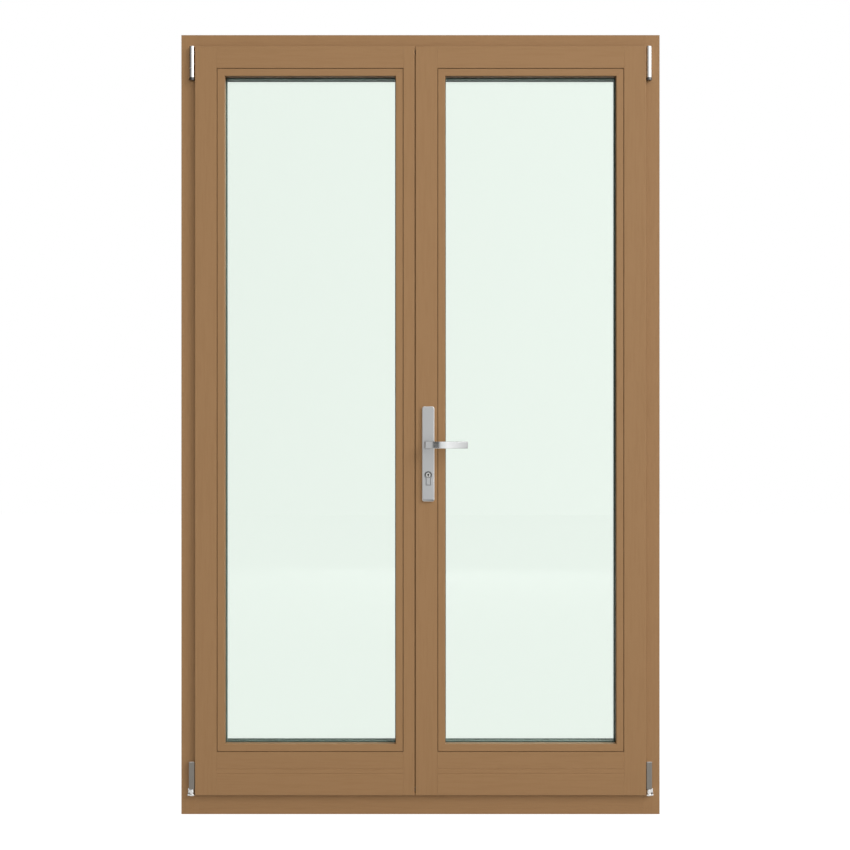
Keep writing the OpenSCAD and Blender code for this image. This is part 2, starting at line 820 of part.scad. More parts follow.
// ---------- meeting parts of the left leaf ----------

astragal_z0 = rain_z1 + 3;
astragal_z1 = frame_h - head_reveal - frame_in_3 - 3;
astragal_x0 = passive_nose_x - 42;
astragal_x1 = active_edge_x2 + 14.5;

astragal_screw_inset = 60;

module astragal_screws() {
    run = astragal_z1 - astragal_z0 - 2 * astragal_screw_inset;
    for (z = [for (i = [0:4]) astragal_z0 + astragal_screw_inset + i * run / 4])
        translate([astragal_x0 + 21, frame_back, z]) rotate([90, 0, 0]) screw(40);
}

module outer_astragal() {
    color(TIMBER) difference() {
        post([[astragal_x0, leaf_back], [passive_nose_x, leaf_back], [passive_nose_x, step_2],
            [astragal_x1, step_2], [astragal_x1, frame_back - 3], [astragal_x1 - 3, frame_back],
            [astragal_x0 + 3, frame_back], [astragal_x0, frame_back - 3]], astragal_z0, astragal_z1);
        astragal_screws();
    }
}

meeting_seal_x = meet_x + seal_in;
meeting_seal_z = [leaf_z0 + edge_in_2 + 1, leaf_z1 - edge_in_2 - 1];

module meeting_seal_root() {
    box(meeting_seal_x, meeting_seal_x + seal_w - 0.5, step_1, step_1 + seal_root,
        meeting_seal_z[0], meeting_seal_z[1]);
}

module meeting_seal() {
    color(RUBBER) box(meeting_seal_x, meeting_seal_x + seal_w - 0.5, leaf_step + seal_gap,
        step_1 + seal_root, meeting_seal_z[0], meeting_seal_z[1]);
}

// Places where the cams lock: above rest for the top rod, below rest for the bottom rod
keep_zs = concat([for (z = cam_zs_top) z + rod_stroke], [for (z = cam_zs_bottom) z - rod_stroke]);
strike_z = bolt_z + bolt_h / 2;

meeting_keep_half_h = 24;
keep_screw_dz = 18;

module keep_screws() {
    for (z = concat(keep_zs, [strike_z]), dz = [-keep_screw_dz, keep_screw_dz])
        translate([passive_edge_x + plate_t, lock_y, z + dz]) rotate([0, -90, 0]) screw(16);
}

module meeting_keeps() {
    color(STEEL) difference() {
        union() for (z = concat(keep_zs, [strike_z])) {
            box(passive_edge_x, passive_edge_x + plate_t, lock_y - 7.5, lock_y + 6,
                z - meeting_keep_half_h, z + meeting_keep_half_h);
            if (z != strike_z)
                box(passive_edge_x, passive_edge_x + 8, lock_y - 7.5, lock_y - cam_r - 0.5, z - 7, z + 7);
        }
        keep_pockets();
    }
}

module keep_pockets() {
    box(passive_edge_x - 14, passive_edge_x + plate_t + 1,
        lock_y - bolt_w / 2 - 0.6, lock_y + bolt_w / 2 + 0.6,
        strike_z - bolt_h / 2 - 1, strike_z + bolt_h / 2 + 1);
    keep_screws();
}

// Flush bolts: rod and thumb knob in the edge of the passive leaf
flush_top = [leaf_z1 - edge_in - flush_l, leaf_z1 - edge_in];
flush_bottom = [leaf_z0 + edge_in, leaf_z0 + edge_in + flush_l];
knob_top = flush_top[0] + knob_inset;
knob_bottom = flush_bottom[1] - knob_inset;

module knob_slot(z, travel) {
    box(passive_edge_x - plate_t - 1, passive_edge_x + 1, flush_y - 2.5, flush_y + 2.5,
        z - 7 + min(travel, 0), z + 7 + max(travel, 0));
}

module flush_bolt_plates() {
    color(STEEL) difference() {
        for (z = [flush_top, flush_bottom])
            box(passive_edge_x - plate_t, passive_edge_x,
                flush_y - flush_w / 2, flush_y + flush_w / 2, z[0], z[1]);
        knob_slot(knob_top, flush_travel);
        knob_slot(knob_bottom, -flush_travel);
        flush_screws();
    }
}

module flush_screws() {
    for (z = [flush_top[0] + 12, flush_top[0] + 45, flush_bottom[1] - 12, flush_bottom[1] - 45])
        translate([passive_edge_x, flush_y, z]) rotate([0, -90, 0]) screw(20);
}

module flush_bolt_pockets() {
    for (z = [flush_top, flush_bottom])
        box(passive_edge_x - plate_t, passive_edge_x + 1,
            flush_y - flush_w / 2, flush_y + flush_w / 2, z[0], z[1]);
    clear = 0.5;
    for (z = [[flush_top[0] + 60, leaf_z1], [leaf_z0, flush_bottom[1] - 60]])
        box(flush_rod_x0 - clear, passive_edge_x - plate_t, flush_y - flush_rod_w / 2 - clear,
            flush_y + flush_rod_w / 2 + clear, z[0], z[1]);
    flush_screws();
}

module flush_bolt(z0, z1, knob_z) {
    box(flush_rod_x0, flush_rod_x0 + rod_t, flush_y - flush_rod_w / 2, flush_y + flush_rod_w / 2, z0, z1);
    box(flush_rod_x0 + rod_t - EPS, passive_edge_x + 3, flush_y - 2, flush_y + 2,
        knob_z - 6.5, knob_z + 6.5);
}

module left_top_bolt() { color(CHROME) flush_bolt(flush_top[0] + 62, rod_top, knob_top); }
module left_bottom_bolt() { color(CHROME) flush_bolt(rod_bottom, flush_bottom[1] - 62, knob_bottom); }

module left_leaf_screws() {
    color(STEEL) {
        left_side() {
            arm_screws(upper_arm_z[0], upper_arm_z[1]);
            arm_screws(lower_arm_z[0], lower_arm_z[1]);
        }
        astragal_screws();
        keep_screws();
        flush_screws();
    }
}

// ---------- lock of the right leaf ----------

module cylinder_outline(grow) {
    translate([handle_x, cylinder_z]) circle(r = cylinder_r + grow);
    translate([handle_x - web_w / 2 - grow, cylinder_z - 25 - grow]) square([web_w + 2 * grow, 25]);
}

module cylinder_block(y0, y1, grow = 0) {
    translate([0, y1, 0]) rotate([90, 0, 0]) linear_extrude(y1 - y0) cylinder_outline(grow);
}

module lock_pockets() {
    clear = 0.5;
    // faceplate recess and rod groove
    box(active_edge_x - 1, groove_x, lock_y - faceplate_w / 2, lock_y + faceplate_w / 2,
        leaf_z0 + edge_in - 1, leaf_z1);
    box(groove_x - 1, rod_x0 + rod_t + clear, lock_y - rod_w / 2 - clear, lock_y + rod_w / 2 + clear,
        leaf_z0, leaf_z1);
    // case pocket, and room for the bottom rod's jog
    box(groove_x - 1, case_x1, case_y0, case_y1, case_z0, case_z1);
    box(groove_x - 1, case_x1 - 1, lock_y - rod_w / 2 - clear, lock_y + rod_w / 2 + clear,
        jog_z0 - rod_stroke - 2, case_z0);
    peg_y(handle_x, leaf_front - 1, lock_y, spindle_z, neck_r + 1);
    cylinder_block(leaf_front - 1, lock_y, cylinder_gap + 0.3);
    faceplate_screws();
}

faceplate_screw_zs = [glass_z0 + 30, spindle_z - 500, spindle_z - 200, spindle_z + 80,
    spindle_z + 560, glass_z1 - 30];

faceplate_screw_r = 1.4;
faceplate_screw_l = 18;

module faceplate_screws() {
    for (z = faceplate_screw_zs)
        peg_x(active_edge_x, active_edge_x + faceplate_screw_l, lock_y + 6.25, z, faceplate_screw_r);
}

module lock_faceplate() {
    color(STEEL) difference() {
        box(active_edge_x, groove_x, lock_y - faceplate_w / 2, lock_y + faceplate_w / 2,
            leaf_z0 + edge_in, leaf_z1 - edge_in);
        for (z = cam_zs_top) cam_slot(z, rod_stroke);
        for (z = cam_zs_bottom) cam_slot(z, -rod_stroke);
        box(active_edge_x - 1, groove_x + 1, lock_y - bolt_w / 2 - 0.5, lock_y + bolt_w / 2 + 0.5,
            bolt_z - 0.5, bolt_z + bolt_h + 0.5);
        faceplate_screws();
    }
}

module cam_slot(z, travel) {
    half = cam_r + 0.5;
    box(active_edge_x - 1, groove_x + 1, lock_y - half, lock_y + half,
        z - half + min(travel, 0), z + half + max(travel, 0));
}

module lock_case() {
    clear = 0.5;
    color(STEEL) difference() {
        box(groove_x, case_x1, case_y0, case_y1, case_z0, case_z1);
        box(groove_x - 1, case_x1 - case_wall, case_y0 + case_wall, case_y1 - case_wall,
            case_z0 + case_wall, case_z1 - case_wall);
        // ways out for the rods
        box(groove_x - 1, rod_x0 + rod_t + clear, lock_y - rod_w / 2 - clear, lock_y + rod_w / 2 + clear,
            case_z1 - case_wall - 1, case_z1 + 1);
        box(right_rack_x + 0.5, case_x1 - case_wall, lock_y - rod_w / 2 - clear, lock_y + rod_w / 2 + clear,
            case_z0 - 1, case_z0 + case_wall + 1);
        peg_y(handle_x, case_y0 - 1, case_y1 + 1, spindle_z, hub_r + run_clear);
        cylinder_block(case_y0 - 1, case_y0 + case_wall + 1, 0.01);
        peg_y(handle_x, case_y1 - case_wall - 1, case_y1 + 1, cylinder_z, tail_r + run_clear);
    }
}

hub_r = 5.5;
tail_r = 3;

module lock_cylinder() {
    color("#b7b4ad") difference() {
        cylinder_block(plate_y - 2.5, case_y0 + case_wall);
        peg_y(handle_x, plate_y - 4, case_y0 + case_wall + 1, cylinder_z, plug_r + run_clear);
    }
}

module cylinder_plug() {
    color("#a7a49c") difference() {
        union() {
            peg_y(handle_x, plate_y - 3, case_y0 + case_wall + 0.3, cylinder_z, plug_r);
            peg_y(handle_x, case_y0 + case_wall, case_y1 - 0.5, cylinder_z, tail_r);
            // cam that throws the bolt
            box(handle_x - 2, handle_x + 2, lock_y - 2, lock_y + 2, cylinder_z, cylinder_z + 8.2);
        }
        // keyway
        box(handle_x - 1, handle_x + 1, plate_y - 4, plate_y + 20, cylinder_z - 4.2, cylinder_z + 3.6);
    }
}

module deadbolt() {
    color(STEEL) difference() {
        box(active_edge_x + 0.5, active_edge_x + 0.5 + bolt_l, lock_y - bolt_w / 2, lock_y + bolt_w / 2,
            bolt_z, bolt_z + bolt_h);
        // notch for the cam
        box(handle_x - 4, handle_x + 4, lock_y - 3, lock_y + 3, bolt_z - 1, bolt_z + 5);
    }
}

module rounded_plate(w, h, r) {
    translate([r, 0]) square([w - 2 * r, h]);
    translate([0, r]) square([w, h - 2 * r]);
    for (x = [r, w - r], z = [r, h - r]) translate([x, z]) circle(r = r);
}

module handle_backplate() {
    color(STEEL) difference() {
        translate([handle_x - plate_w / 2, leaf_front, plate_z0]) rotate([90, 0, 0])
            linear_extrude(backplate_t) rounded_plate(plate_w, plate_h, plate_corner_r);
        peg_y(handle_x, plate_y - 1, leaf_front + 1, spindle_z, neck_r + run_clear);
        cylinder_block(plate_y - 1, leaf_front + 1, cylinder_gap);
    }
}

// Lever outline in plan: the bar leaves the neck, swells towards the hand and falls back to its tip
neck_front_y = plate_y - 33;
crest_y = neck_front_y - 14;
crest_x = handle_x + 30;
tip_x = handle_x + lever_reach;
bar_x0 = handle_x + neck_r;
function ease(t) = t * t * (3 - 2 * t);
function lever_front(x) = x < crest_x
    ? neck_front_y + (crest_y - neck_front_y) * ease((x - bar_x0) / (crest_x - bar_x0))
    : crest_y + 9 * pow((x - crest_x) / (tip_x - crest_x), 2);
lever_steps = 26;
lever_xs = [for (i = [0:lever_steps]) bar_x0 + (tip_x - bar_x0) * i / lever_steps];
lever_outline = concat(
    corner(handle_x - neck_r + 3, neck_front_y + 3, 3, 180, 270, 4),
    [for (x = lever_xs) [x, lever_front(x)]],
    [for (i = [lever_steps:-1:0]) [lever_xs[i], lever_front(lever_xs[i]) + lever_t]],
    [[bar_x0, neck_front_y + lever_t + 4], [handle_x - neck_r, neck_front_y + lever_t + 4]]);

module handle_lever() {
    color(CHROME) difference() {
        union() {
            peg_y(handle_x, neck_front_y + 8, leaf_front - 0.3, spindle_z, neck_r);
            post(lever_outline, spindle_z - lever_h / 2, spindle_z + lever_h / 2);
        }
        spindle_bar(leaf_front);
    }
}

module spindle_bar(y1) {
    box(handle_x - spindle_w / 2, handle_x + spindle_w / 2, plate_y - 18, y1,
        spindle_z - spindle_w / 2, spindle_z + spindle_w / 2);
}

module handle_spindle() { color(STEEL) spindle_bar(case_y1 - 0.3); }

function tooth_points(i) = let (
        a = (i + 0.5) * 360 / teeth,
        root = asin(0.9 / gear_r), mid = asin(0.6 / gear_r), tip = asin(0.32 / gear_r))
    [for (q = [[-root, -root_h], [-mid, 0], [-tip, tip_h], [tip, tip_h], [mid, 0], [root, -root_h]])
        [handle_x + (gear_r + q[1]) * cos(a + q[0]), spindle_z + (gear_r + q[1]) * sin(a + q[0])]];

module gear_pinion() {
    color(STEEL) difference() {
        union() {
            slab([for (i = [0:teeth - 1]) each tooth_points(i)], lock_y - rod_w / 2, lock_y + rod_w / 2);
            peg_y(handle_x, case_y0 + 0.3, case_y1 - 0.3, spindle_z, hub_r);
        }
        spindle_bar(case_y1 + 2);
    }
}

// Rack teeth from z0 to z1 on the side of a rod; dir is the side that they point to
module rack(x, dir, z0, z1) {
    n0 = ceil((z0 + 1 - spindle_z) / tooth_pitch);
    n1 = floor((z1 - 1 - spindle_z) / tooth_pitch);
    back = x - dir * (root_h - 0.3);
    slab(concat([[back, z0]],
        [for (n = [n0:n1]) each [for (q = [[-root_h + 0.3, -0.9], [0, -0.6], [tip_h, -0.32],
            [tip_h, 0.32], [0, 0.6], [-root_h + 0.3, 0.9]])
            [x + dir * q[0], spindle_z + n * tooth_pitch + q[1]]]],
        [[back, z1], [x - dir * 3.2, z1], [x - dir * 3.2, z0]]), lock_y - rod_w / 2, lock_y + rod_w / 2);
}

module cams(zs) {
    for (z = zs) peg_x(active_edge_x - cam_tip, rod_x0 + 1, lock_y, z, cam_r);
}

module right_top_rod() {
    color(STEEL) {
        rack(left_rack_x, 1, spindle_z - 19, spindle_z + 8);
        box(rod_x0, rod_x0 + rod_t, lock_y - rod_w / 2, lock_y + rod_w / 2, spindle_z + 8, rod_top);
        cams(cam_zs_top);
    }
}

module right_bottom_rod() {
    color(STEEL) {
        rack(right_rack_x, -1, spindle_z - 8, spindle_z + 19);
        box(right_rack_x + 1, right_rack_x + 3.2, lock_y - rod_w / 2, lock_y + rod_w / 2,
            jog_z0, spindle_z - 8);
        box(rod_x0, right_rack_x + 3.2, lock_y - rod_w / 2, lock_y + rod_w / 2, jog_z0, jog_z0 + 8);
        box(rod_x0, rod_x0 + rod_t, lock_y - rod_w / 2, lock_y + rod_w / 2, rod_bottom, jog_z0 + 8);
        cams(cam_zs_bottom);
    }
}

module right_leaf_screws() {
    color(STEEL) {
        arm_screws(upper_arm_z[0], upper_arm_z[1]);
        arm_screws(lower_arm_z[0], lower_arm_z[1]);
        faceplate_screws();
    }
}

frame_left_jamb();
frame_right_jamb();
frame_head();
frame_bottom_rail();
frame_weather_seal();
rain_rail();
rain_rail_end_caps();
upper_hinge_bearings();
lower_hinge_bearings();
hinge_pins();
frame_keeps();
frame_screws();
right_hinge_stile();
right_meeting_stile();
right_top_rail();
right_bottom_rail();
right_side_beads();
right_rail_beads();
right_inner_pane();
right_outer_pane();
right_spacer();
right_glazing_tapes();
right_setting_blocks();
right_upper_hinge_arm();
right_lower_hinge_arm();
right_leaf_screws();
lock_faceplate();
lock_case();
lock_cylinder();
handle_backplate();
handle_lever();
handle_spindle();
gear_pinion();
right_top_rod();
right_bottom_rod();
deadbolt();
cylinder_plug();
left_hinge_stile();
left_meeting_stile();
left_top_rail();
left_bottom_rail();
left_side_beads();
left_rail_beads();
left_inner_pane();
left_outer_pane();
left_spacer();
left_glazing_tapes();
left_setting_blocks();
left_upper_hinge_arm();
left_lower_hinge_arm();
left_leaf_screws();
outer_astragal();
meeting_seal();
meeting_keeps();
flush_bolt_plates();
left_top_bolt();
left_bottom_bolt();
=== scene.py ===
"""Finish for a two-leaf, inward-opening timber French door in its own frame.

The packed model is the frame of reference: every piece takes its place from it.
"""

import json
import math

import bpy
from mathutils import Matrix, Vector

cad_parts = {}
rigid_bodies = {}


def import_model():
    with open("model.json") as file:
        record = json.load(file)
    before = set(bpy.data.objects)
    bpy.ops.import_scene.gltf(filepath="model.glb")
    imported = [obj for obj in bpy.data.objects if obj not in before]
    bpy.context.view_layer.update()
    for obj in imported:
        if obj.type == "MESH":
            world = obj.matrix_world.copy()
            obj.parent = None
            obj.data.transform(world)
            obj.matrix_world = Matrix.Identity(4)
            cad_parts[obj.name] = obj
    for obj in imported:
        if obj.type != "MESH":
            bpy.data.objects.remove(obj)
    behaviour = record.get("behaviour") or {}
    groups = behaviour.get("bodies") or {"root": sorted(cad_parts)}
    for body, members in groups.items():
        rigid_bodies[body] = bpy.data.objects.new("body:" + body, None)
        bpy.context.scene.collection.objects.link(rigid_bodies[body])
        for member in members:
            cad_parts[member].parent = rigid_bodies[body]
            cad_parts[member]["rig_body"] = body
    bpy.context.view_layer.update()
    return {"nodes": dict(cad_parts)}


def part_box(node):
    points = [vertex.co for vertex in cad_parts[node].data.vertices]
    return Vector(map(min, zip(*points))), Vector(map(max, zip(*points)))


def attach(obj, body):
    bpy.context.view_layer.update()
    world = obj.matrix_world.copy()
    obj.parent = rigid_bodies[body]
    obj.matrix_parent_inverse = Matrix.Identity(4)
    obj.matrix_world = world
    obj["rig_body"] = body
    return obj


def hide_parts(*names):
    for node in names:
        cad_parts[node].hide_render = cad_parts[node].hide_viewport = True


bl_info = {
    "name": "French Door Finish",
    "version": (1, 0, 0),
    "blender": (4, 5, 0),
    "location": "3D View > Sidebar > French Door",
    "description": "Paints, glazes and furnishes a two-leaf timber French door in its frame",
    "category": "Object",
}

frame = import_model()

MM = 0.001
SAME_PLACE = 0.01 * MM            # corners closer than this lie at the same place
FLAT_ANGLE = math.radians(0.5)    # faces that meet at less than this are one flat face
FINE_EDGE = 0.3 * MM              # broken edge of glass, steel strip, aluminium and plastic
SCREW_HEAD = 4 * MM               # radius of every screw's head
SOCKET_DEPTH = 2.4 * MM           # length of the cutter, half of it inside the head
PLATE_CORNER = 4.5 * MM           # reach of the backplate's corners from its straight edges
FLAT_FRONT = -0.97                # a normal's depth on a face that still looks flat to the front
NECK_INSET = 4 * MM               # from the backplate's edge back to the end of the lever's neck
LEVER_SHEEN = 71 * MM             # length of the lever over which its painted sheen changes

FRAME_UPRIGHTS = ["frame_left_jamb", "frame_right_jamb"]
FRAME_LEVELS = ["frame_head", "frame_bottom_rail"]
LEAVES = {"left": "passive_leaf", "right": "active_leaf"}

PLATE_LOW, PLATE_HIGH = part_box("handle_backplate")
LEVER_LOW, LEVER_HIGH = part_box("handle_lever")

groups = {}       # shader node groups by name
materials = {}    # materials by name


# ---------- what a user would change ----------


class TimberFinish(bpy.types.PropertyGroup):
    """Paint and edges of the timber"""

    paint: bpy.props.FloatVectorProperty(
        name="Paint", description="Colour of the opaque paint", subtype="COLOR",
        size=3, min=0, max=1, default=(0.318, 0.180, 0.082))
    paint_shade: bpy.props.FloatVectorProperty(
        name="Paint in the grain", description="Colour where the paint sinks into the grain",
        subtype="COLOR", size=3, min=0, max=1, default=(0.296, 0.165, 0.074))
    arris: bpy.props.FloatProperty(
        name="Eased edge", description="Width of the sanded edge on frame and leaves",
        unit="LENGTH", min=0.0001, max=0.002, default=0.0004)
    outline: bpy.props.FloatProperty(
        name="Leaf outline", description="Round on the outer front edge of each leaf",
        unit="LENGTH", min=0.0001, max=0.003, default=0.0013)
    bead_arris: bpy.props.FloatProperty(
        name="Eased bead edge", description="Width of the sanded edge on the glazing beads",
        unit="LENGTH", min=0.0001, max=0.001, default=0.0002)
    # Painted shade: share of the paint left on the bead chamfers and joint faces, standing in for
    # the shade in the groove.
    joint_painted_shade: bpy.props.FloatProperty(
        name="Joint shade", description="Share of the paint's colour left in the bead joints",
        subtype="FACTOR", min=0, max=1, default=0.3)
    # Painted shade: share of the paint left on the top and right beads' faces towards the glass.
    edge_painted_shade: bpy.props.FloatProperty(
        name="Bead shade", description="Share of the paint's colour left on the far beads' edges",
        subtype="FACTOR", min=0, max=1, default=0.45)
    bead_chamfer: bpy.props.FloatProperty(
        name="Bead chamfer", description="Chamfer of the beads along the joint to the timber",
        unit="LENGTH", min=0.0001, max=0.002, default=0.0011)


class GlazingFinish(bpy.types.PropertyGroup):
    """Glass, spacer bars and seals"""

    glass: bpy.props.FloatVectorProperty(
        name="Glass", description="Tint of one pane", subtype="COLOR",
        size=3, min=0, max=1, default=(0.909, 0.957, 0.919))
    spacer: bpy.props.FloatVectorProperty(
        name="Spacer bar", description="Colour of the bar between the panes", subtype="COLOR",
        size=3, min=0, max=1, default=(0.105, 0.150, 0.140))
    seal: bpy.props.FloatVectorProperty(
        name="Seal", description="Colour of the weather seals", subtype="COLOR",
        size=3, min=0, max=1, default=(0.075, 0.045, 0.024))


class HardwareFinish(bpy.types.PropertyGroup):
    """Metal parts"""

    satin_nickel: bpy.props.FloatVectorProperty(
        name="Satin nickel", description="Colour of the handle set", subtype="COLOR",
        size=3, min=0, max=1, default=(0.495, 0.50, 0.50))
    lever_nickel: bpy.props.FloatVectorProperty(
        name="Lever nickel", description="Colour of the lever", subtype="COLOR",
        size=3, min=0, max=1, default=(0.69, 0.70, 0.70))
    sleeve_metal: bpy.props.FloatVectorProperty(
        name="Hinge sleeve", description="Colour of the sleeves of the lower hinges",
        subtype="COLOR", size=3, min=0, max=1, default=(0.22, 0.20, 0.172))
    hinge_nickel: bpy.props.FloatVectorProperty(
        name="Bright nickel", description="Colour of the hinges", subtype="COLOR",
        size=3, min=0, max=1, default=(0.80, 0.79, 0.77))
    plate_round: bpy.props.FloatProperty(
        name="Backplate edge", description="Round on the backplate's front edge",
        unit="LENGTH", min=0.0005, max=0.003, default=0.0022)
    lever_round: bpy.props.FloatProperty(
        name="Lever edge", description="Round on the edges of the lever",
        unit="LENGTH", min=0.0005, max=0.003, default=0.0016)
    socket: bpy.props.FloatProperty(
        name="Screw socket", description="Size of the driver socket in a screw head",
        unit="LENGTH", min=0.0005, max=0.003, default=0.0017)


class StudioLook(bpy.types.PropertyGroup):
    """Lights, floor and camera"""

    camera_distance: bpy.props.FloatProperty(
        name="Camera distance", description="Distance from the origin to the camera",
        unit="LENGTH", min=1, max=10, default=3.652)
    camera_height: bpy.props.FloatProperty(
        name="Camera height", description="Height of the camera above the floor",
        unit="LENGTH", min=0.1, max=3, default=1.009)
    camera_side: bpy.props.FloatProperty(
        name="Camera offset", description="Sideways place of the camera",
        unit="LENGTH", min=-1, max=1, default=0.0117)
    focal_length: bpy.props.FloatProperty(
        name="Focal length", description="Focal length of the lens in millimetres",
        min=20, max=200, default=59.1)
    key_power: bpy.props.FloatProperty(
        name="Key light", description="Power of the large light at the upper right",
        unit="POWER", min=0, max=2000, default=790)
    fill_power: bpy.props.FloatProperty(
        name="Front fill", description="Power of the soft light in front of the door",
        unit="POWER", min=0, max=2000, default=120)
    back_power: bpy.props.FloatProperty(
        name="Back light", description="Power of the light on the outside of the door",
        unit="POWER", min=0, max=2000, default=50)


# ---------- working on meshes ----------


def deselect_all():
    """Leaves nothing selected for the next operator to act on."""
    bpy.ops.object.select_all(action="DESELECT")


def make_active(piece):
    """Selects one piece and nothing else."""
    deselect_all()
    piece.select_set(True)
    bpy.context.view_layer.objects.active = piece


def in_edit_mode(piece, work):
    """Runs work() with the piece in edit mode, on whatever is already selected in its mesh."""
    make_active(piece)
    bpy.ops.object.mode_set(mode="EDIT")
    work()
    bpy.ops.object.mode_set(mode="OBJECT")


def choose_edges(piece, test):
    """Selects only the edges whose two ends pass the test."""
    mesh = piece.data
    for parts in (mesh.vertices, mesh.edges, mesh.polygons):
        parts.foreach_set("select", [False] * len(parts))
    for edge in mesh.edges:
        edge.select = test(*[mesh.vertices[i].co for i in edge.vertices])


def all_at(place, *values, within=SAME_PLACE):
    """True where every value lies at the given place."""
    return all(abs(value - place) < within for value in values)


def apply_all(piece):
    """Applies the piece's modifiers."""
    make_active(piece)
    for modifier in list(piece.modifiers):
        bpy.ops.object.modifier_apply(modifier=modifier.name)


def copy_of(node, name):
    """A copy of a CAD node, with its loose triangles joined and its flat faces made whole."""
    source = frame["nodes"][node]
    piece = bpy.data.objects.new(name, source.data.copy())
    piece.data.materials.clear()
    bpy.context.scene.collection.objects.link(piece)

    def join_up():
        bpy.ops.mesh.select_all(action="SELECT")
        bpy.ops.mesh.remove_doubles(threshold=SAME_PLACE)
        bpy.ops.mesh.dissolve_limited(angle_limit=FLAT_ANGLE)

    in_edit_mode(piece, join_up)
    return piece


def ease_edges(piece, width, sharper_than=35, steps=2):
    """Rounds every edge of the piece that is sharper than the given angle in degrees."""
    bevel = piece.modifiers.new("Eased edges", "BEVEL")
    bevel.limit_method = "ANGLE"
    bevel.angle_limit = math.radians(sharper_than)
    bevel.width = width
    bevel.segments = steps
    bevel.use_clamp_overlap = False
    apply_all(piece)


def cut_away(piece, cutter):
    """Cuts the cutter's shape out of the piece, and does away with the cutter."""
    cut = piece.modifiers.new("Cut", "BOOLEAN")
    cut.operation = "DIFFERENCE"
    cut.solver = "EXACT"
    cut.object = cutter
    apply_all(piece)
    bpy.data.objects.remove(cutter)


def smooth(piece, angle=32):
    """Smooth shading over the rounds, with the flat faces left truly flat."""
    make_active(piece)
    bpy.ops.object.shade_smooth_by_angle(angle=math.radians(angle))
    level = piece.modifiers.new("Flat faces", "WEIGHTED_NORMAL")
    level.keep_sharp = True
    level.weight = 100
    apply_all(piece)


def finish_piece(piece, body, slot, material, *nodes):
    """Gives the piece the named material and hands it to its body in place of its CAD nodes."""
    piece.data.materials.clear()
    piece.data.materials.append(materials[material])
    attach(piece, body)
    if nodes:
        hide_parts(*nodes)
    return piece


def finish_faces(piece, material, test):
    """Gives the faces that pass the test a material of their own."""
    piece.data.materials.append(materials[material])
    index = len(piece.data.materials) - 1
    for face in piece.data.polygons:
        if test(face):
            face.material_index = index


def eased_part(node, body, slot, material, width, steps=2):
    """A CAD node with its sharp edges eased, in its own material."""
    piece = copy_of(node, node + "_finished")
    ease_edges(piece, width, steps=steps)
    smooth(piece)
    return finish_piece(piece, body, slot, material, node)


def paint_node(node, material):
    """Shows a CAD node as it is, in its own material."""
    shown = frame["nodes"][node]
    shown.data.materials.clear()
    shown.data.materials.append(materials[material])


def body_of(node):
    """The body that a CAD node belongs to."""
    return frame["nodes"][node]["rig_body"]


# ---------- shader groups ----------


def new_group(name, inputs, outputs):
    """A node group with its sockets: each is (socket name, kind, default)."""
    group = bpy.data.node_groups.new(name, "ShaderNodeTree")
    for socket, kind, default in inputs:
        made = group.interface.new_socket(socket, in_out="INPUT", socket_type="NodeSocket" + kind)
        if default is not None:
            made.default_value = default
    for socket, kind in outputs:
        group.interface.new_socket(socket, in_out="OUTPUT", socket_type="NodeSocket" + kind)
    return group, group.nodes.new("NodeGroupInput"), group.nodes.new("NodeGroupOutput")


def add_noise(nodes, links, vector, scale, detail, roughness=0.5):
    noise = nodes.new("ShaderNodeTexNoise")
    noise.inputs["Scale"].default_value = scale
    noise.inputs["Detail"].default_value = detail
    noise.inputs["Roughness"].default_value = roughness
    links.new(vector, noise.inputs["Vector"])
    return noise.outputs["Fac"]


def add_range(nodes, links, value, from_low, from_high, to_low, to_high):
    spread = nodes.new("ShaderNodeMapRange")
    for socket, number in zip(("From Min", "From Max", "To Min", "To Max"),
                              (from_low, from_high, to_low, to_high)):
        spread.inputs[socket].default_value = number
    links.new(value, spread.inputs["Value"])
    return spread.outputs["Result"]


def add_mix(nodes, links, factor, first, second):
    """A colour mix; first and second are sockets."""
    mix = nodes.new("ShaderNodeMix")
    mix.data_type = "RGBA"
    links.new(factor, mix.inputs["Factor"])
    links.new(first, mix.inputs[6])
    links.new(second, mix.inputs[7])
    return mix.outputs[2]


def add_math(nodes, links, operation, *values):
    step = nodes.new("ShaderNodeMath")
    step.operation = operation
    for socket, value in zip(step.inputs, values):
        if isinstance(value, (int, float)):
            socket.default_value = value
        else:
            links.new(value, socket)
    return step.outputs[0]


def grain_under_paint():
    """Fine grain that still shows through opaque paint, along the vector's first axis."""
    group, given, result = new_group(
        "Grain under paint",
        [("Vector", "Vector", None), ("Paint", "Color", (0.3, 0.18, 0.09, 1)),
         ("Sunk paint", "Color", (0.27, 0.16, 0.08, 1)), ("Sheen spread", "Float", 0.06),
         ("Mean roughness", "Float", 0.5)],
        [("Color", "Color"), ("Roughness", "Float"), ("Height", "Float")])
    nodes, links = group.nodes, group.links
    along = given.outputs["Vector"]
    pores = add_noise(nodes, links, along, 240, 5, 0.6)
    boards = add_noise(nodes, links, along, 5, 3)
    depth = add_range(nodes, links, pores, 0.46, 0.62, 0, 1)
    patch = add_range(nodes, links, boards, 0.35, 0.65, 0, 1)
    mask = add_math(nodes, links, "MULTIPLY_ADD", depth, 0.55, add_math(
        nodes, links, "MULTIPLY", patch, 0.06))
    color = add_mix(nodes, links, mask, given.outputs["Paint"], given.outputs["Sunk paint"])
    links.new(color, result.inputs["Color"])
    links.new(add_math(nodes, links, "MULTIPLY_ADD", mask, given.outputs["Sheen spread"],
                       given.outputs["Mean roughness"]), result.inputs["Roughness"])
    links.new(add_math(nodes, links, "SUBTRACT", 1.0, depth), result.inputs["Height"])
    return group


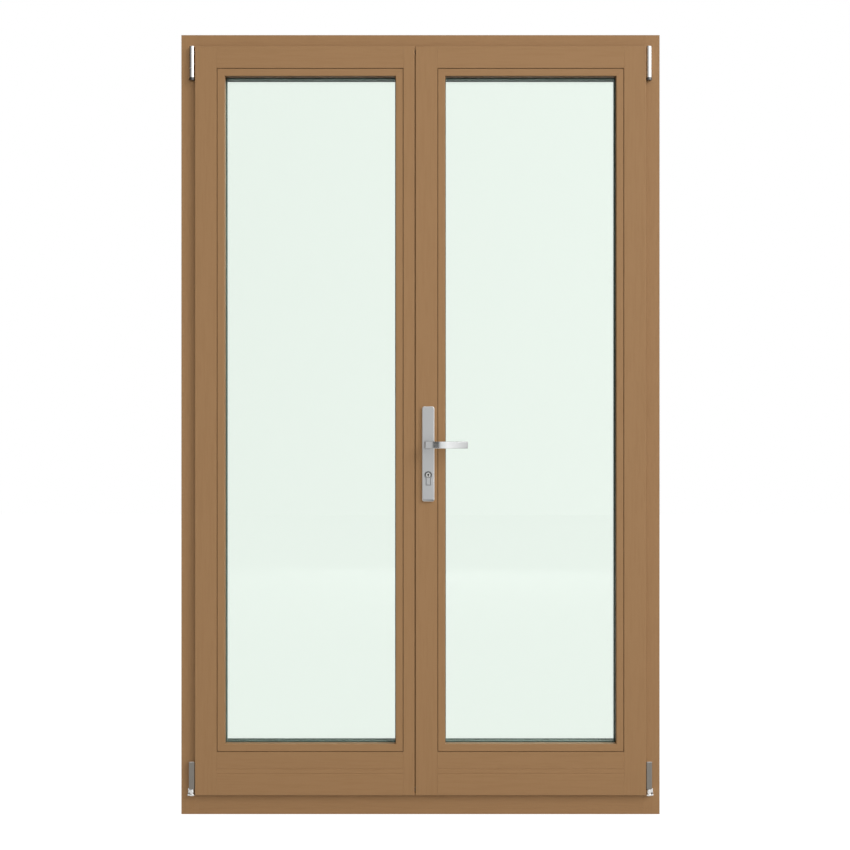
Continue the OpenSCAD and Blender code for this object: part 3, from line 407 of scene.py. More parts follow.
def brushed_metal():
    """Fine brush lines along the vector's first axis, with soft patches of handling."""
    group, given, result = new_group(
        "Brushed metal",
        [("Vector", "Vector", None), ("Metal", "Color", (0.6, 0.6, 0.6, 1)),
         ("Worn metal", "Color", (0.5, 0.5, 0.5, 1)), ("Mean roughness", "Float", 0.3),
         ("Brush depth", "Float", 0.1)],
        [("Color", "Color"), ("Roughness", "Float"), ("Height", "Float")])
    nodes, links = group.nodes, group.links
    along = given.outputs["Vector"]
    lines = add_noise(nodes, links, along, 900, 3, 0.7)
    handling = add_noise(nodes, links, along, 22, 3)
    patch = add_range(nodes, links, handling, 0.4, 0.7, 0, 1)
    color = add_mix(nodes, links, add_math(nodes, links, "MULTIPLY", patch, 0.35),
                    given.outputs["Metal"], given.outputs["Worn metal"])
    links.new(color, result.inputs["Color"])
    spread = add_math(nodes, links, "SUBTRACT", lines, 0.5)
    rough = add_math(nodes, links, "MULTIPLY_ADD", spread, given.outputs["Brush depth"],
                     given.outputs["Mean roughness"])
    links.new(add_math(nodes, links, "MULTIPLY_ADD", patch, 0.05, rough),
              result.inputs["Roughness"])
    links.new(lines, result.inputs["Height"])
    return group


def moulded_skin():
    """The faint mottle of extruded rubber and moulded plastic."""
    group, given, result = new_group(
        "Moulded skin",
        [("Vector", "Vector", None), ("Base", "Color", (0.05, 0.05, 0.05, 1)),
         ("Bloom", "Color", (0.08, 0.08, 0.08, 1)), ("Mean roughness", "Float", 0.6)],
        [("Color", "Color"), ("Roughness", "Float"), ("Height", "Float")])
    nodes, links = group.nodes, group.links
    mottle = add_noise(nodes, links, given.outputs["Vector"], 140, 4)
    patch = add_noise(nodes, links, given.outputs["Vector"], 9, 2)
    bloom = add_range(nodes, links, patch, 0.4, 0.7, 0, 0.6)
    links.new(add_mix(nodes, links, bloom, given.outputs["Base"], given.outputs["Bloom"]),
              result.inputs["Color"])
    links.new(add_math(nodes, links, "MULTIPLY_ADD", mottle, 0.12, add_math(
        nodes, links, "SUBTRACT", given.outputs["Mean roughness"], 0.06)),
        result.inputs["Roughness"])
    links.new(mottle, result.inputs["Height"])
    return group


# ---------- materials ----------


def start_material(name, stretch):
    """A material whose pattern vector is stretched along the piece; returns its nodes."""
    material = bpy.data.materials.new(name)
    material.use_nodes = True
    nodes, links = material.node_tree.nodes, material.node_tree.links
    shader = nodes["Principled BSDF"]
    place = nodes.new("ShaderNodeTexCoord")
    mapping = nodes.new("ShaderNodeMapping")
    mapping.inputs["Scale"].default_value = stretch
    links.new(place.outputs["Object"], mapping.inputs["Vector"])
    return material, nodes, links, shader, mapping.outputs["Vector"]


def dress(name, group_name, stretch, colours, numbers, bump, metallic=0.0, coat=0.0):
    """A material that takes colour, roughness and height from one of the groups."""
    material, nodes, links, shader, vector = start_material(name, stretch)
    pattern = nodes.new("ShaderNodeGroup")
    pattern.node_tree = groups[group_name]
    links.new(vector, pattern.inputs["Vector"])
    for socket, colour in colours.items():
        pattern.inputs[socket].default_value = (*colour, 1)
    for socket, number in numbers.items():
        pattern.inputs[socket].default_value = number
    links.new(pattern.outputs["Color"], shader.inputs["Base Color"])
    links.new(pattern.outputs["Roughness"], shader.inputs["Roughness"])
    relief = nodes.new("ShaderNodeBump")
    relief.inputs["Strength"].default_value = bump[0]
    relief.inputs["Distance"].default_value = bump[1]
    links.new(pattern.outputs["Height"], relief.inputs["Height"])
    links.new(relief.outputs["Normal"], shader.inputs["Normal"])
    shader.inputs["Metallic"].default_value = metallic
    shader.inputs["Coat Weight"].default_value = coat
    materials[name] = material
    return shader


def toned(colour, share):
    """A darker or lighter tone of a colour."""
    return [channel * share for channel in colour]


def painted_timber(name, stretch, share=1.0):
    """The paint, or a darker share of it as painted shade along the bead joints and on the far
    beads' inner edges.
    """
    look = bpy.context.scene.timber_finish
    shader = dress(name, "Grain under paint", stretch,
                   {"Paint": toned(look.paint, share),
                    "Sunk paint": toned(look.paint_shade, share)},
                   {"Mean roughness": 0.52, "Sheen spread": 0.08}, (0.12, 0.2 * MM))
    shader.inputs["Specular IOR Level"].default_value = 0.22


def plated_metal(name, stretch, metal, worn, roughness, brush, relief, coat=0.0):
    """Brushed or plated metal; worn is its colour where it is handled, or a share of it."""
    if isinstance(worn, float):
        worn = toned(metal, worn)
    dress(name, "Brushed metal", stretch, {"Metal": metal, "Worn metal": worn},
          {"Mean roughness": roughness, "Brush depth": brush}, (relief, 0.1 * MM), 1, coat)


def moulded(name, base, bloom, roughness, relief, depth, metallic=0.0):
    """Rubber, sealant or plastic; bloom is its colour where it has gone paler."""
    dress(name, "Moulded skin", (1, 1, 1), {"Base": base, "Bloom": bloom},
          {"Mean roughness": roughness}, (relief, depth), metallic)


def painted_sheen_on_lever(name, length, tones):
    """Painted sheen on the lever's plating: lightest at the crest, darker towards the tip,
    standing in for its reflection.
    """
    nodes, links = materials[name].node_tree.nodes, materials[name].node_tree.links
    pattern = next(node for node in nodes if node.type == "GROUP")
    place = nodes.new("ShaderNodeTexCoord")
    split = nodes.new("ShaderNodeSeparateXYZ")
    links.new(place.outputs["Object"], split.inputs["Vector"])
    along = add_range(nodes, links, split.outputs["X"],
                      LEVER_HIGH.x - length, LEVER_HIGH.x, 0, 1)
    ramp = nodes.new("ShaderNodeValToRGB")
    links.new(along, ramp.inputs["Fac"])
    metal = pattern.inputs["Metal"].default_value[:3]
    stops = ramp.color_ramp.elements
    stops.new(tones[1][0])
    for stop, (position, tone) in zip(stops, tones):
        stop.position = position
        stop.color = (*toned(metal, tone), 1)
    links.new(ramp.outputs["Color"], pattern.inputs["Metal"])


def clear_glass():
    """Float glass with a faint green body; light passes through it to what lies behind."""
    look = bpy.context.scene.glazing_finish
    material, nodes, links, shader, vector = start_material("Clear glass", (1, 1, 1))
    shader.inputs["Base Color"].default_value = (*look.glass, 1)
    shader.inputs["Transmission Weight"].default_value = 1
    shader.inputs["Roughness"].default_value = 0
    shader.inputs["IOR"].default_value = 1.45
    wave = add_noise(nodes, links, vector, 1.6, 1)
    relief = nodes.new("ShaderNodeBump")
    relief.inputs["Strength"].default_value = 0.02
    relief.inputs["Distance"].default_value = MM
    links.new(wave, relief.inputs["Height"])
    links.new(relief.outputs["Normal"], shader.inputs["Normal"])
    passing = nodes.new("ShaderNodeBsdfTransparent")
    passing.inputs["Color"].default_value = (*toned(look.glass, 0.96), 1)
    path = nodes.new("ShaderNodeLightPath")
    blend = nodes.new("ShaderNodeMixShader")
    links.new(path.outputs["Is Shadow Ray"], blend.inputs[0])
    links.new(shader.outputs[0], blend.inputs[1])
    links.new(passing.outputs[0], blend.inputs[2])
    links.new(blend.outputs[0], nodes["Material Output"].inputs["Surface"])
    materials["Clear glass"] = material


def make_materials():
    """Makes the node groups, and every material from its own values."""
    scene = bpy.context.scene
    timber, glazing, metal = scene.timber_finish, scene.glazing_finish, scene.hardware_finish
    groups["Grain under paint"] = grain_under_paint()
    groups["Brushed metal"] = brushed_metal()
    groups["Moulded skin"] = moulded_skin()
    painted_timber("Painted timber, upright", (1, 1, 0.05))
    painted_timber("Painted timber, level", (0.05, 1, 1))
    # Painted shade: darker shares of the paint for the bead joints and for the far beads' faces
    # towards the glass.
    painted_timber("Bead joint, painted shade", (0.2, 1, 0.2), timber.joint_painted_shade)
    painted_timber("Bead edge, painted shade", (0.2, 1, 0.2), timber.edge_painted_shade)
    clear_glass()
    for name, stretch, colour, worn, roughness, brush, relief in (
            ("Satin nickel, upright", (1, 1, 0.02), metal.satin_nickel, 0.93, 0.36, 0.16, 0.08),
            ("Satin nickel, level", (0.02, 1, 1), metal.lever_nickel, 0.96, 0.22, 0.10, 0.06),
            # Painted highlight: the backplate's rounded rim takes the brighter hinge nickel,
            # rougher, so it shows bright all round.
            ("Plate rim, painted highlight", (1, 1, 0.05), metal.hinge_nickel, 0.94, 0.5, 0.06, 0.04),
            ("Bright nickel", (1, 1, 0.05), metal.hinge_nickel, 0.94, 0.16, 0.06, 0.04),
            ("Zinc-plated steel", (1, 1, 0.1), (0.52, 0.53, 0.54), (0.42, 0.43, 0.42),
             0.38, 0.12, 0.06),
            ("Nickel-plated brass", (1, 1, 1), (0.56, 0.555, 0.54), (0.50, 0.49, 0.47),
             0.28, 0.08, 0.05),
            ("Anodised aluminium", (0.03, 1, 1), (0.60, 0.61, 0.62), (0.54, 0.55, 0.56),
             0.42, 0.12, 0.06)):
        plated_metal(name, stretch, colour, worn, roughness, brush, relief)
    plated_metal("Hinge sleeve", (1, 1, 0.05), metal.sleeve_metal, 0.94, 0.3, 0.06, 0.04, coat=1)
    # Painted sheen: the lever's colour rises near its crest and falls towards its tip.
    painted_sheen_on_lever("Satin nickel, level", LEVER_SHEEN, ((0, 1), (0.28, 1.27), (1, 0.58)))
    for name, base, bloom, roughness, relief, depth in (
            ("Spacer bar", glazing.spacer, toned(glazing.spacer, 1.15), 0.45, 0.05, 0.1 * MM),
            ("Brown seal", glazing.seal, toned(glazing.seal, 1.3), 0.7, 0.08, 0.2 * MM),
            ("Black seal", [0.018] * 3, [0.03] * 3, 0.65, 0.08, 0.2 * MM),
            # Painted shade: the outer sealant's dark teal stands in for the shaded rebate seen
            # through the glass.
            ("Outer sealant, painted shade", (0.075, 0.100, 0.094), (0.09, 0.115, 0.108), 0.55, 0.08, 0.2 * MM),
            ("Grey plastic", (0.055, 0.055, 0.053), (0.08, 0.08, 0.078), 0.5, 0.08, 0.2 * MM)):
        moulded(name, base, bloom, roughness, relief, depth)
    moulded("Dark hinge cap", [0.10] * 3, [0.16] * 3, 0.4, 0.05, 0.1 * MM, metallic=1)
    # Painted shade: near-black metal for the inside of the keyhole.
    moulded("Keyway, painted shade", [0.02] * 3, [0.035] * 3, 0.5, 0.05, 0.1 * MM, metallic=1)


# ---------- shapes that more than one piece uses ----------


def disc_faces(piece, radius):
    """(centre, normal) of every flat round face of that radius, such as a screw head."""
    area, spread, least_sides = math.pi * radius * radius, 0.03, 20
    return [(face.center.copy(), face.normal.copy()) for face in piece.data.polygons
            if abs(face.area - area) < area * spread and len(face.vertices) > least_sides]


def cut_sockets(piece, radius, size):
    """Cuts a six-sided driver socket into each screw head of that radius."""
    cutters = []
    for centre, normal in disc_faces(piece, radius):
        deselect_all()
        bpy.ops.mesh.primitive_cylinder_add(
            vertices=6, radius=size, depth=SOCKET_DEPTH, location=centre,
            rotation=normal.to_track_quat("Z", "Y").to_euler())
        cutters.append(bpy.context.object)
    if not cutters:
        raise RuntimeError(f"{piece.name} has no screw heads of radius {radius}")
    deselect_all()
    for cutter in cutters:
        cutter.select_set(True)
    bpy.context.view_layer.objects.active = cutters[0]
    bpy.ops.object.join()
    cut_away(piece, bpy.context.object)


def screws(node):
    """Screws with a driver socket in each head."""
    piece = copy_of(node, node + "_finished")
    cut_sockets(piece, SCREW_HEAD, bpy.context.scene.hardware_finish.socket)
    smooth(piece)
    finish_piece(piece, body_of(node), "zinc_steel", "Zinc-plated steel", node)


def round_rim(piece, edge_test, width, steps):
    """Rounds the edges of a piece that pass the test."""
    choose_edges(piece, edge_test)

    def bevel():
        bpy.ops.mesh.select_mode(type="EDGE")
        bpy.ops.mesh.bevel(offset=width, segments=steps, profile=0.5, clamp_overlap=False)
        bpy.ops.mesh.select_mode(type="FACE")

    in_edit_mode(piece, bevel)


def leaf_part(side, part, body, material):
    """A stile or rail: the leaf's outer edge well rounded, the edges at the beads kept crisp."""
    look = bpy.context.scene.timber_finish
    piece = copy_of(f"{side}_{part}", f"{side}_{part}_finished")
    low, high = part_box(f"{side}_hinge_stile")
    outer_x = low.x if side == "left" else high.x

    def on_outline(a, b):
        at_side = all_at(outer_x, a.x, b.x)
        at_end = all_at(low.z, a.z, b.z) or all_at(high.z, a.z, b.z)
        return all_at(low.y, a.y, b.y) and (at_side or at_end)

    round_rim(piece, on_outline, look.outline, 3)
    ease_edges(piece, look.arris)
    smooth(piece)
    finish_piece(piece, body, "painted_timber", material, f"{side}_{part}")


def beads(node, body, axis, material):
    """A pair of glazing beads, chamfered, with painted shade along the joint to the timber and on
    the top and right beads' faces towards the glass.
    """
    look = bpy.context.scene.timber_finish
    piece = copy_of(node, node + "_finished")
    low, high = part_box(node)
    middle = (low[axis] + high[axis]) / 2
    joint_reach, joint_side, shaded_side = 0.7 * MM, 0.5, -0.8

    def at_joint(a, b):
        return all_at(low.y, a.y, b.y) and any(
            all_at(place, a[axis], b[axis], within=joint_reach)
            for place in (low[axis], high[axis]))

    def outward(face):
        """1 for a face that looks to the timber, -1 for one that looks to the glass."""
        return face.normal[axis] * (1 if face.center[axis] > middle else -1)

    round_rim(piece, at_joint, look.bead_chamfer, 1)
    ease_edges(piece, look.bead_arris, sharper_than=50, steps=1)
    smooth(piece)
    finish_piece(piece, body, "painted_timber", material, node)
    # Painted shade: the chamfer and the outer side of each bead take the darker joint paint.
    finish_faces(piece, "Bead joint, painted shade", lambda face: outward(face) > joint_side)
    # Painted shade: the top bead's and the right bead's faces towards the glass take a darker
    # paint.
    finish_faces(piece, "Bead edge, painted shade",
                 lambda face: face.center[axis] > middle and outward(face) < shaded_side)


def outer_sealant_shade(side, body):
    """A soft bead of sealant between the outer pane and the timber lip behind it, dark teal as
    painted shade of the rebate seen through the glass.
    """
    tape_low, tape_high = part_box(f"{side}_glazing_tapes")
    pane_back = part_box(f"{side}_outer_pane")[1].y
    proud, level_extra, thick, lip, soft_edge = 6.5 * MM, 4 * MM, 2.5 * MM, 9.5 * MM, 0.8 * MM
    middle = (tape_low + tape_high) / 2
    inner_height = tape_high.z - tape_low.z - 2 * (lip + proud)
    deselect_all()
    bpy.ops.mesh.primitive_plane_add(size=1, location=(middle.x, pane_back, middle.z),
                                     rotation=(math.radians(90), 0, 0))
    piece = bpy.context.object
    piece.name = f"{side}_outer_sealant_shade"
    bpy.ops.transform.resize(value=(tape_high.x - tape_low.x - 2 * lip, 1,
                                    tape_high.z - tape_low.z - 2 * lip))
    bpy.ops.object.transform_apply(location=True, rotation=True, scale=True)

    def make_strip():
        bpy.ops.mesh.select_all(action="SELECT")
        bpy.ops.mesh.inset(thickness=proud)
        bpy.ops.transform.resize(value=(1, 1, 1 - 2 * level_extra / inner_height))
        bpy.ops.mesh.delete(type="FACE")
        bpy.ops.mesh.select_all(action="SELECT")
        bpy.ops.mesh.extrude_region_move(TRANSFORM_OT_translate={"value": (0, thick, 0)})
        bpy.ops.mesh.select_all(action="SELECT")
        bpy.ops.mesh.normals_make_consistent(inside=False)

    in_edit_mode(piece, make_strip)
    ease_edges(piece, soft_edge, steps=3)
    smooth(piece)
    finish_piece(piece, body, "black_seal", "Outer sealant, painted shade")


def solid_disc(name, radius, low_y, high_y, centre, sides=48):
    """A round block along the depth of the door, for a cutter or a washer."""
    deselect_all()
    bpy.ops.mesh.primitive_cylinder_add(
        vertices=sides, radius=radius, depth=high_y - low_y, rotation=(math.radians(90), 0, 0),
        location=(centre.x, (low_y + high_y) / 2, centre.z))
    bpy.ops.object.transform_apply(location=True, rotation=True, scale=True)
    piece = bpy.context.object
    piece.name = name
    return piece


def keyhole_plug():
    """The turning plug, its key slot widened in the middle, with painted shade inside."""
    low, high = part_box("cylinder_plug")
    centre = (low + high) / 2
    keyhole_radius, keyhole_depth = 2.3 * MM, 5 * MM
    dark_from, wall_left = low.y + 0.3 * MM, 0.5 * MM
    piece = copy_of("cylinder_plug", "cylinder_plug_finished")
    cut_away(piece, solid_disc("keyhole", keyhole_radius, low.y - MM, low.y + keyhole_depth,
                               centre))
    smooth(piece)
    finish_piece(piece, "key_plug", "lock_brass", "Nickel-plated brass", "cylinder_plug")

    def in_keyhole(face):
        from_middle = math.hypot(face.center.x - centre.x, face.center.z - centre.z)
        return face.center.y > dark_from and from_middle < (high.x - low.x) / 2 - wall_left

    # Painted shade: the faces inside the keyhole take the near-black keyway material.
    finish_faces(piece, "Keyway, painted shade", in_keyhole)


def cylinder_shade_ring():
    """A thin dark ring round the plug on the front of the lock cylinder: painted shade for the
    gap round the plug.
    """
    body_low, body_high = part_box("lock_cylinder")
    plug_low, plug_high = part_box("cylinder_plug")
    centre = (plug_low + plug_high) / 2
    rim, gap, thick, edge, sides = 0.2 * MM, 0.15 * MM, 0.25 * MM, 0.08 * MM, 64
    radius = (body_high.x - body_low.x) / 2 - rim
    bore = (plug_high.x - plug_low.x) / 2 + gap
    piece = solid_disc("cylinder_shade_ring", radius, body_low.y - thick, body_low.y, centre, sides)
    cut_away(piece, solid_disc("bore", bore, body_low.y - MM, body_low.y + MM, centre, sides))
    ease_edges(piece, edge)
    smooth(piece)
    # Painted shade: the ring takes the dark grey plastic.
    finish_piece(piece, "active_leaf", "grey_plastic", "Grey plastic")


# ---------- stage ----------


def seen_straight(nodes, links, path):
    """1 for what is seen directly or through glass, 0 after a bounce off any surface."""
    bounces = add_math(nodes, links, "ADD", path.outputs["Diffuse Depth"],
                       path.outputs["Glossy Depth"])
    return add_math(nodes, links, "LESS_THAN", bounces, 0.5)


def make_floor():
    """A pale floor that adds a glow of its own where it is seen, so that it stays even."""
    tone, seen_share, mirrored_share, seen_extra = 0.6, 0.8, 0.6, 0.25
    deselect_all()
    bpy.ops.mesh.primitive_plane_add(size=24, location=(0, 0, 0))
    floor = bpy.context.object
    floor.name = "studio_floor"
    material = bpy.data.materials.new("Studio floor")
    material.use_nodes = True
    nodes, links = material.node_tree.nodes, material.node_tree.links
    shader = nodes["Principled BSDF"]
    shader.inputs["Base Color"].default_value = (tone, tone, tone, 1)
    shader.inputs["Roughness"].default_value = 0.9
    shader.inputs["Specular IOR Level"].default_value = 0
    glow = nodes.new("ShaderNodeEmission")
    path = nodes.new("ShaderNodeLightPath")
    links.new(add_math(nodes, links, "MULTIPLY_ADD", path.outputs["Is Camera Ray"], seen_extra,
                       1.0), glow.inputs["Strength"])
    mirrored = add_math(nodes, links, "MULTIPLY", path.outputs["Is Glossy Ray"], mirrored_share)
    direct = add_math(nodes, links, "MULTIPLY_ADD", path.outputs["Is Camera Ray"], seen_share,
                      mirrored)
    through_glass = add_math(nodes, links, "MULTIPLY", path.outputs["Is Transmission Ray"],
                             seen_straight(nodes, links, path))
    blend = nodes.new("ShaderNodeMixShader")
    links.new(add_math(nodes, links, "MAXIMUM", direct, through_glass), blend.inputs[0])
    links.new(shader.outputs[0], blend.inputs[1])
    links.new(glow.outputs[0], blend.inputs[2])
    links.new(blend.outputs[0], nodes["Material Output"].inputs["Surface"])
    floor.data.materials.append(material)


def add_gradient(nodes, links, direction, towards, cosines, strengths):
    """Strength that grows, between two cosines, as the direction turns towards the given one."""
    facing = nodes.new("ShaderNodeVectorMath")
    facing.operation = "DOT_PRODUCT"
    facing.inputs[1].default_value = Vector(towards).normalized()
    links.new(direction, facing.inputs[0])
    return add_range(nodes, links, facing.outputs["Value"], *cosines, *strengths)


def make_world():
    """White behind the door; for light brighter from above, for reflections from the right."""
    world = bpy.data.worlds.new("Studio")
    bpy.context.scene.world = world
    world.use_nodes = True
    nodes, links = world.node_tree.nodes, world.node_tree.links
    direction = nodes.new("ShaderNodeTexCoord").outputs["Generated"]
    path = nodes.new("ShaderNodeLightPath")
    soft = add_gradient(nodes, links, direction, towards=(0.45, -0.20, 0.87),
                        cosines=(-0.2, 0.9), strengths=(0.05, 0.62))
    mirrored = add_gradient(nodes, links, direction, towards=(0.85, -0.46, 0.25),
                            cosines=(-0.5, 0.85), strengths=(0.05, 1.30))
    bright = nodes.new("ShaderNodeMix")
    links.new(add_math(nodes, links, "MINIMUM", path.outputs["Glossy Depth"], 1.0),
              bright.inputs["Factor"])
    links.new(soft, bright.inputs[2])
    links.new(mirrored, bright.inputs[3])
    seen = add_math(nodes, links, "MAXIMUM", path.outputs["Is Camera Ray"],
                    path.outputs["Is Transmission Ray"])
    white = add_math(nodes, links, "MULTIPLY", seen, seen_straight(nodes, links, path))
    strength = nodes.new("ShaderNodeMix")
    links.new(white, strength.inputs["Factor"])
    links.new(bright.outputs[0], strength.inputs[2])
    strength.inputs[3].default_value = 1
    links.new(strength.outputs[0], nodes["Background"].inputs["Strength"])
    nodes["Background"].inputs["Color"].default_value = (1, 1, 1, 1)
    bpy.context.scene.view_settings.view_transform = "Standard"


def make_light(name, place, power, size):
    """A square light aimed at the door's middle, not seen itself, directly or through glass."""
    door_middle = Vector((0, 0, 1))
    deselect_all()
    bpy.ops.object.light_add(type="AREA", location=place)
    light = bpy.context.object
    light.name = name
    light.data.energy = power
    light.data.size = size
    light.visible_camera = False
    light.visible_transmission = False
    aim = door_middle - Vector(place)
    light.rotation_euler = aim.to_track_quat("-Z", "Y").to_euler()
    return light


def make_camera(look):
    """A level camera in front of the door."""
    place = (look.camera_side, -look.camera_distance, look.camera_height)
    deselect_all()
    bpy.ops.object.camera_add(location=place, rotation=(math.radians(90), 0, 0))
    camera = bpy.context.object
    camera.name = "Front camera"
    camera.data.lens = look.focal_length
    bpy.context.scene.camera = camera


# ---------- operators: one for each piece or group of like pieces ----------


class DOOR_OT_materials(bpy.types.Operator):
    """Mixes the paint, glass, metals and seals"""

    bl_idname = "door.materials"
    bl_label = "Materials"

    def execute(self, context):
        make_materials()
        return {"FINISHED"}


class DOOR_OT_frame_timber(bpy.types.Operator):
    """Eases and paints the jambs, the head and the bottom rail of the frame"""

    bl_idname = "door.frame_timber"
    bl_label = "Frame timber"

    def execute(self, context):
        arris = context.scene.timber_finish.arris
        for node in FRAME_UPRIGHTS:
            eased_part(node, "frame", "painted_timber", "Painted timber, upright", arris)
        for node in FRAME_LEVELS:
            eased_part(node, "frame", "painted_timber", "Painted timber, level", arris)
        return {"FINISHED"}


class DOOR_OT_leaf_timber(bpy.types.Operator):
    """Eases and paints the stiles, the rails and the outer cover strip of both leaves"""

    bl_idname = "door.leaf_timber"
    bl_label = "Leaf timber"

    def execute(self, context):
        for side, body in LEAVES.items():
            for part in ("hinge_stile", "meeting_stile"):
                leaf_part(side, part, body, "Painted timber, upright")
            for part in ("top_rail", "bottom_rail"):
                leaf_part(side, part, body, "Painted timber, level")
        eased_part("outer_astragal", "passive_leaf", "painted_timber",
                   "Painted timber, upright", context.scene.timber_finish.arris)
        return {"FINISHED"}


class DOOR_OT_glazing_beads(bpy.types.Operator):
    """Eases and paints the mitred beads that hold the glass"""

    bl_idname = "door.glazing_beads"
    bl_label = "Glazing beads"

    def execute(self, context):
        across, up = 0, 2
        for side, body in LEAVES.items():
            beads(f"{side}_side_beads", body, across, "Painted timber, upright")
            beads(f"{side}_rail_beads", body, up, "Painted timber, level")
        return {"FINISHED"}


class DOOR_OT_glass_units(bpy.types.Operator):
    """Glazes both leaves: panes, spacer bars, tapes and setting blocks"""

    bl_idname = "door.glass_units"
    bl_label = "Glass units"

    def execute(self, context):
        for side, body in LEAVES.items():
            for pane in ("inner_pane", "outer_pane"):
                eased_part(f"{side}_{pane}", body, "clear_glass", "Clear glass", FINE_EDGE,
                           steps=1)
            eased_part(f"{side}_spacer", body, "spacer_bar", "Spacer bar", 0.5 * MM)
            paint_node(f"{side}_glazing_tapes", "Black seal")
            outer_sealant_shade(side, body)
            paint_node(f"{side}_setting_blocks", "Grey plastic")
        return {"FINISHED"}


class DOOR_OT_weather_seals(bpy.types.Operator):
    """Colours the seal round the frame and the seal between the leaves"""

    bl_idname = "door.weather_seals"
    bl_label = "Weather seals"

    def execute(self, context):
        eased_part("frame_weather_seal", "frame", "brown_seal", "Brown seal", 0.5 * MM)
        eased_part("meeting_seal", "passive_leaf", "brown_seal", "Brown seal", 0.4 * MM)
        return {"FINISHED"}


class DOOR_OT_hinges(bpy.types.Operator):
    """Rounds and plates the four hinges with their pins and leaf arms"""

    bl_idname = "door.hinges"
    bl_label = "Hinges"

    def execute(self, context):
        nickel, looks_up = "Bright nickel", 0.25
        eased_part("upper_hinge_bearings", "frame", "bright_hinge", nickel, 1.1 * MM, steps=3)
        eased_part("lower_hinge_bearings", "frame", "bright_hinge", nickel, 0.6 * MM)
        for side, body in LEAVES.items():
            eased_part(f"{side}_upper_hinge_arm", body, "bright_hinge", nickel, 0.5 * MM)
            sleeve = eased_part(f"{side}_lower_hinge_arm", body, "bright_hinge", "Hinge sleeve",
                                0.9 * MM, steps=3)
            # Painted highlight: the sleeve's upward-facing faces take bright nickel, lighter than
            # its own dark metal.
            finish_faces(sleeve, nickel, lambda face: face.normal.z > looks_up)
        eased_part("hinge_pins", "frame", "zinc_steel", "Dark hinge cap", 0.8 * MM)
        return {"FINISHED"}


class DOOR_OT_backplate(bpy.types.Operator):
    """Rounds the front edge of the handle's long backplate"""

    bl_idname = "door.backplate"
    bl_label = "Backplate"

    def execute(self, context):
        look = context.scene.hardware_finish
        piece = copy_of("handle_backplate", "handle_backplate_finished")

        def on_front_outline(a, b):
            return all_at(PLATE_LOW.y, a.y, b.y) and all(
                min(end.x - PLATE_LOW.x, PLATE_HIGH.x - end.x,
                    end.z - PLATE_LOW.z, PLATE_HIGH.z - end.z) < PLATE_CORNER for end in (a, b))

        def on_rim(face):
            in_round = face.center.y < PLATE_LOW.y + look.plate_round
            return in_round and face.normal.y > FLAT_FRONT

        round_rim(piece, on_front_outline, look.plate_round, 4)
        smooth(piece)
        finish_piece(piece, "active_leaf", "satin_nickel", "Satin nickel, upright",
                     "handle_backplate")
        # Painted highlight: the faces of the rounded rim take the brighter rim material.
        finish_faces(piece, "Plate rim, painted highlight", on_rim)
        return {"FINISHED"}


class DOOR_OT_lever(bpy.types.Operator):
    """Rounds the edges of the lever and its neck, hands it to the handle, and colours the spindle
    and pinion
    """

    bl_idname = "door.lever"
    bl_label = "Lever"

    def execute(self, context):
        look = context.scene.hardware_finish
        piece = copy_of("handle_lever", "handle_lever_finished")
        spindle_x = (PLATE_LOW.x + PLATE_HIGH.x) / 2

        def on_bar_outline(a, b):
            on_face = all_at(LEVER_LOW.z, a.z, b.z) or all_at(LEVER_HIGH.z, a.z, b.z)
            along_neck = all_at(spindle_x, a.x, b.x, within=0.1 * MM)
            at_tip = all_at(LEVER_HIGH.x, a.x, b.x)
            return (on_face and not along_neck) or (at_tip and all_at(a.y, b.y))

        round_rim(piece, on_bar_outline, look.lever_round, 4)
        smooth(piece, 40)
        finish_piece(piece, "handle", "satin_nickel", "Satin nickel, level", "handle_lever")
        finish_faces(piece, "Satin nickel, upright",
                     lambda face: face.center.x < PLATE_HIGH.x - NECK_INSET)
        paint_node("handle_spindle", "Zinc-plated steel")
        paint_node("gear_pinion", "Zinc-plated steel")
        return {"FINISHED"}


class DOOR_OT_key_cylinder(bpy.types.Operator):
    """Finishes the key cylinder and its turning plug"""

    bl_idname = "door.key_cylinder"
    bl_label = "Key cylinder"

    def execute(self, context):
        eased_part("lock_cylinder", "active_leaf", "lock_brass", "Satin nickel, upright",
                   0.5 * MM)
        keyhole_plug()
        cylinder_shade_ring()
        return {"FINISHED"}


class DOOR_OT_lock_hardware(bpy.types.Operator):
    """Plates the lock case, faceplate, rods, bolts and keeps"""

    bl_idname = "door.lock_hardware"
    bl_label = "Lock hardware"

    def execute(self, context):
        zinc = "Zinc-plated steel"
        for node in ("lock_faceplate", "flush_bolt_plates", "frame_keeps", "left_top_bolt",
                     "left_bottom_bolt"):
            eased_part(node, body_of(node), "zinc_steel", zinc, FINE_EDGE, steps=1)
        for node in ("meeting_keeps", "deadbolt", "lock_case", "right_top_rod",
                     "right_bottom_rod"):
            paint_node(node, zinc)
        return {"FINISHED"}


class DOOR_OT_rain_rail(bpy.types.Operator):
    """Finishes the aluminium rain rail and its moulded end caps"""

    bl_idname = "door.rain_rail"
    bl_label = "Rain rail"

    def execute(self, context):
        eased_part("rain_rail", "frame", "mill_aluminium", "Anodised aluminium", FINE_EDGE,
                   steps=1)
        eased_part("rain_rail_end_caps", "frame", "grey_plastic", "Grey plastic", FINE_EDGE,
                   steps=1)
        return {"FINISHED"}


class DOOR_OT_screws(bpy.types.Operator):
    """Cuts driver sockets into the screws of frame and leaves"""

    bl_idname = "door.screws"
    bl_label = "Screws"

    def execute(self, context):
        for node in ("frame_screws", "left_leaf_screws", "right_leaf_screws"):
            screws(node)
        return {"FINISHED"}


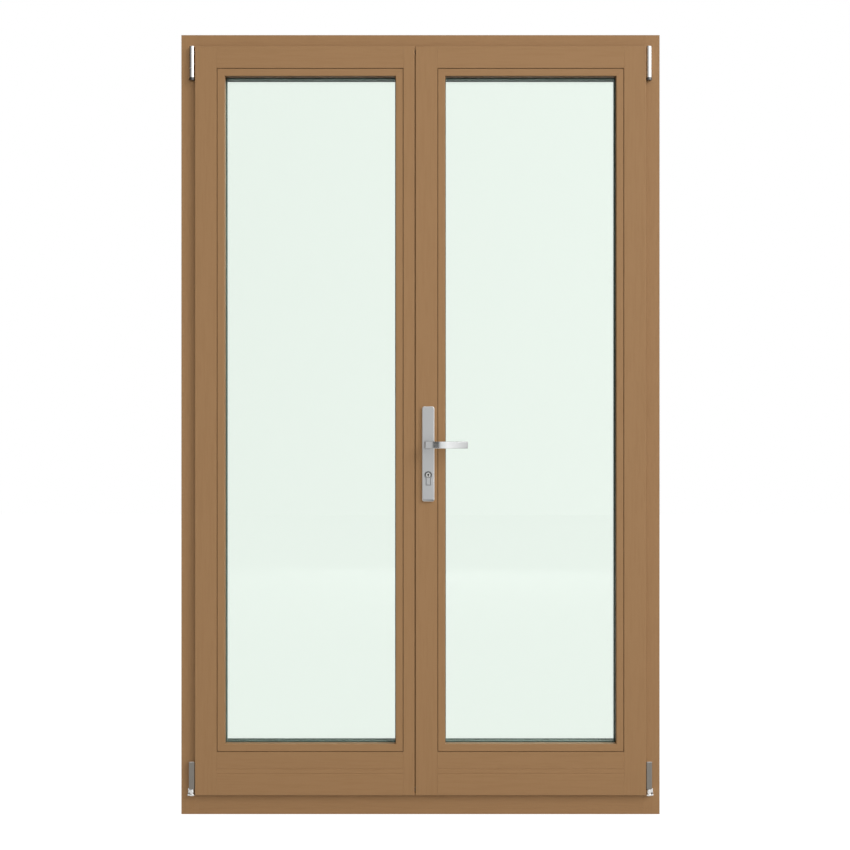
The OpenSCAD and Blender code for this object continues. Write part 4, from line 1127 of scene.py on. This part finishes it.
class DOOR_OT_stage(bpy.types.Operator):
    """Sets up the floor, the studio lights and the camera"""

    bl_idname = "door.stage"
    bl_label = "Floor, light and camera"

    def execute(self, context):
        make_floor()
        make_world()
        look = context.scene.studio_look
        make_light("Key light", place=(8.4, -8.1, 7.75), power=look.key_power, size=6.5)
        make_light("Back light", place=(1.0, 4.5, 3.0), power=look.back_power, size=2.0)
        fill = make_light("Front fill", place=(0.4, -6.0, 1.8), power=look.fill_power, size=3.0)
        fill.visible_glossy = False
        make_camera(look)
        return {"FINISHED"}


# ---------- panel and registration ----------


class DOOR_PT_pieces(bpy.types.Panel):
    """Lists the finishes and the steps that build the door"""

    bl_idname = "DOOR_PT_pieces"
    bl_label = "French door"
    bl_space_type = "VIEW_3D"
    bl_region_type = "UI"
    bl_category = "French Door"

    def draw(self, context):
        for name in LOOKS:
            box = self.layout.box()
            box.label(text=LOOKS[name].__doc__)
            look = getattr(context.scene, name)
            for value in LOOKS[name].__annotations__:
                box.prop(look, value)
        column = self.layout.column(align=True)
        for step in STEPS:
            column.operator(step.bl_idname)


LOOKS = {"timber_finish": TimberFinish, "glazing_finish": GlazingFinish,
         "hardware_finish": HardwareFinish, "studio_look": StudioLook}
STEPS = [DOOR_OT_materials, DOOR_OT_frame_timber, DOOR_OT_leaf_timber, DOOR_OT_glazing_beads,
         DOOR_OT_glass_units, DOOR_OT_weather_seals, DOOR_OT_hinges, DOOR_OT_backplate,
         DOOR_OT_lever, DOOR_OT_key_cylinder, DOOR_OT_lock_hardware, DOOR_OT_rain_rail,
         DOOR_OT_screws, DOOR_OT_stage]


def register():
    for made in [*LOOKS.values(), *STEPS, DOOR_PT_pieces]:
        bpy.utils.register_class(made)
    for name, look in LOOKS.items():
        setattr(bpy.types.Scene, name, bpy.props.PointerProperty(type=look))


def unregister():
    for name in LOOKS:
        delattr(bpy.types.Scene, name)
    for made in reversed([*LOOKS.values(), *STEPS, DOOR_PT_pieces]):
        bpy.utils.unregister_class(made)


def main():
    register()
    for step in STEPS:
        group, action = step.bl_idname.split(".")
        getattr(getattr(bpy.ops, group), action)()


if __name__ == "__main__":
    main()
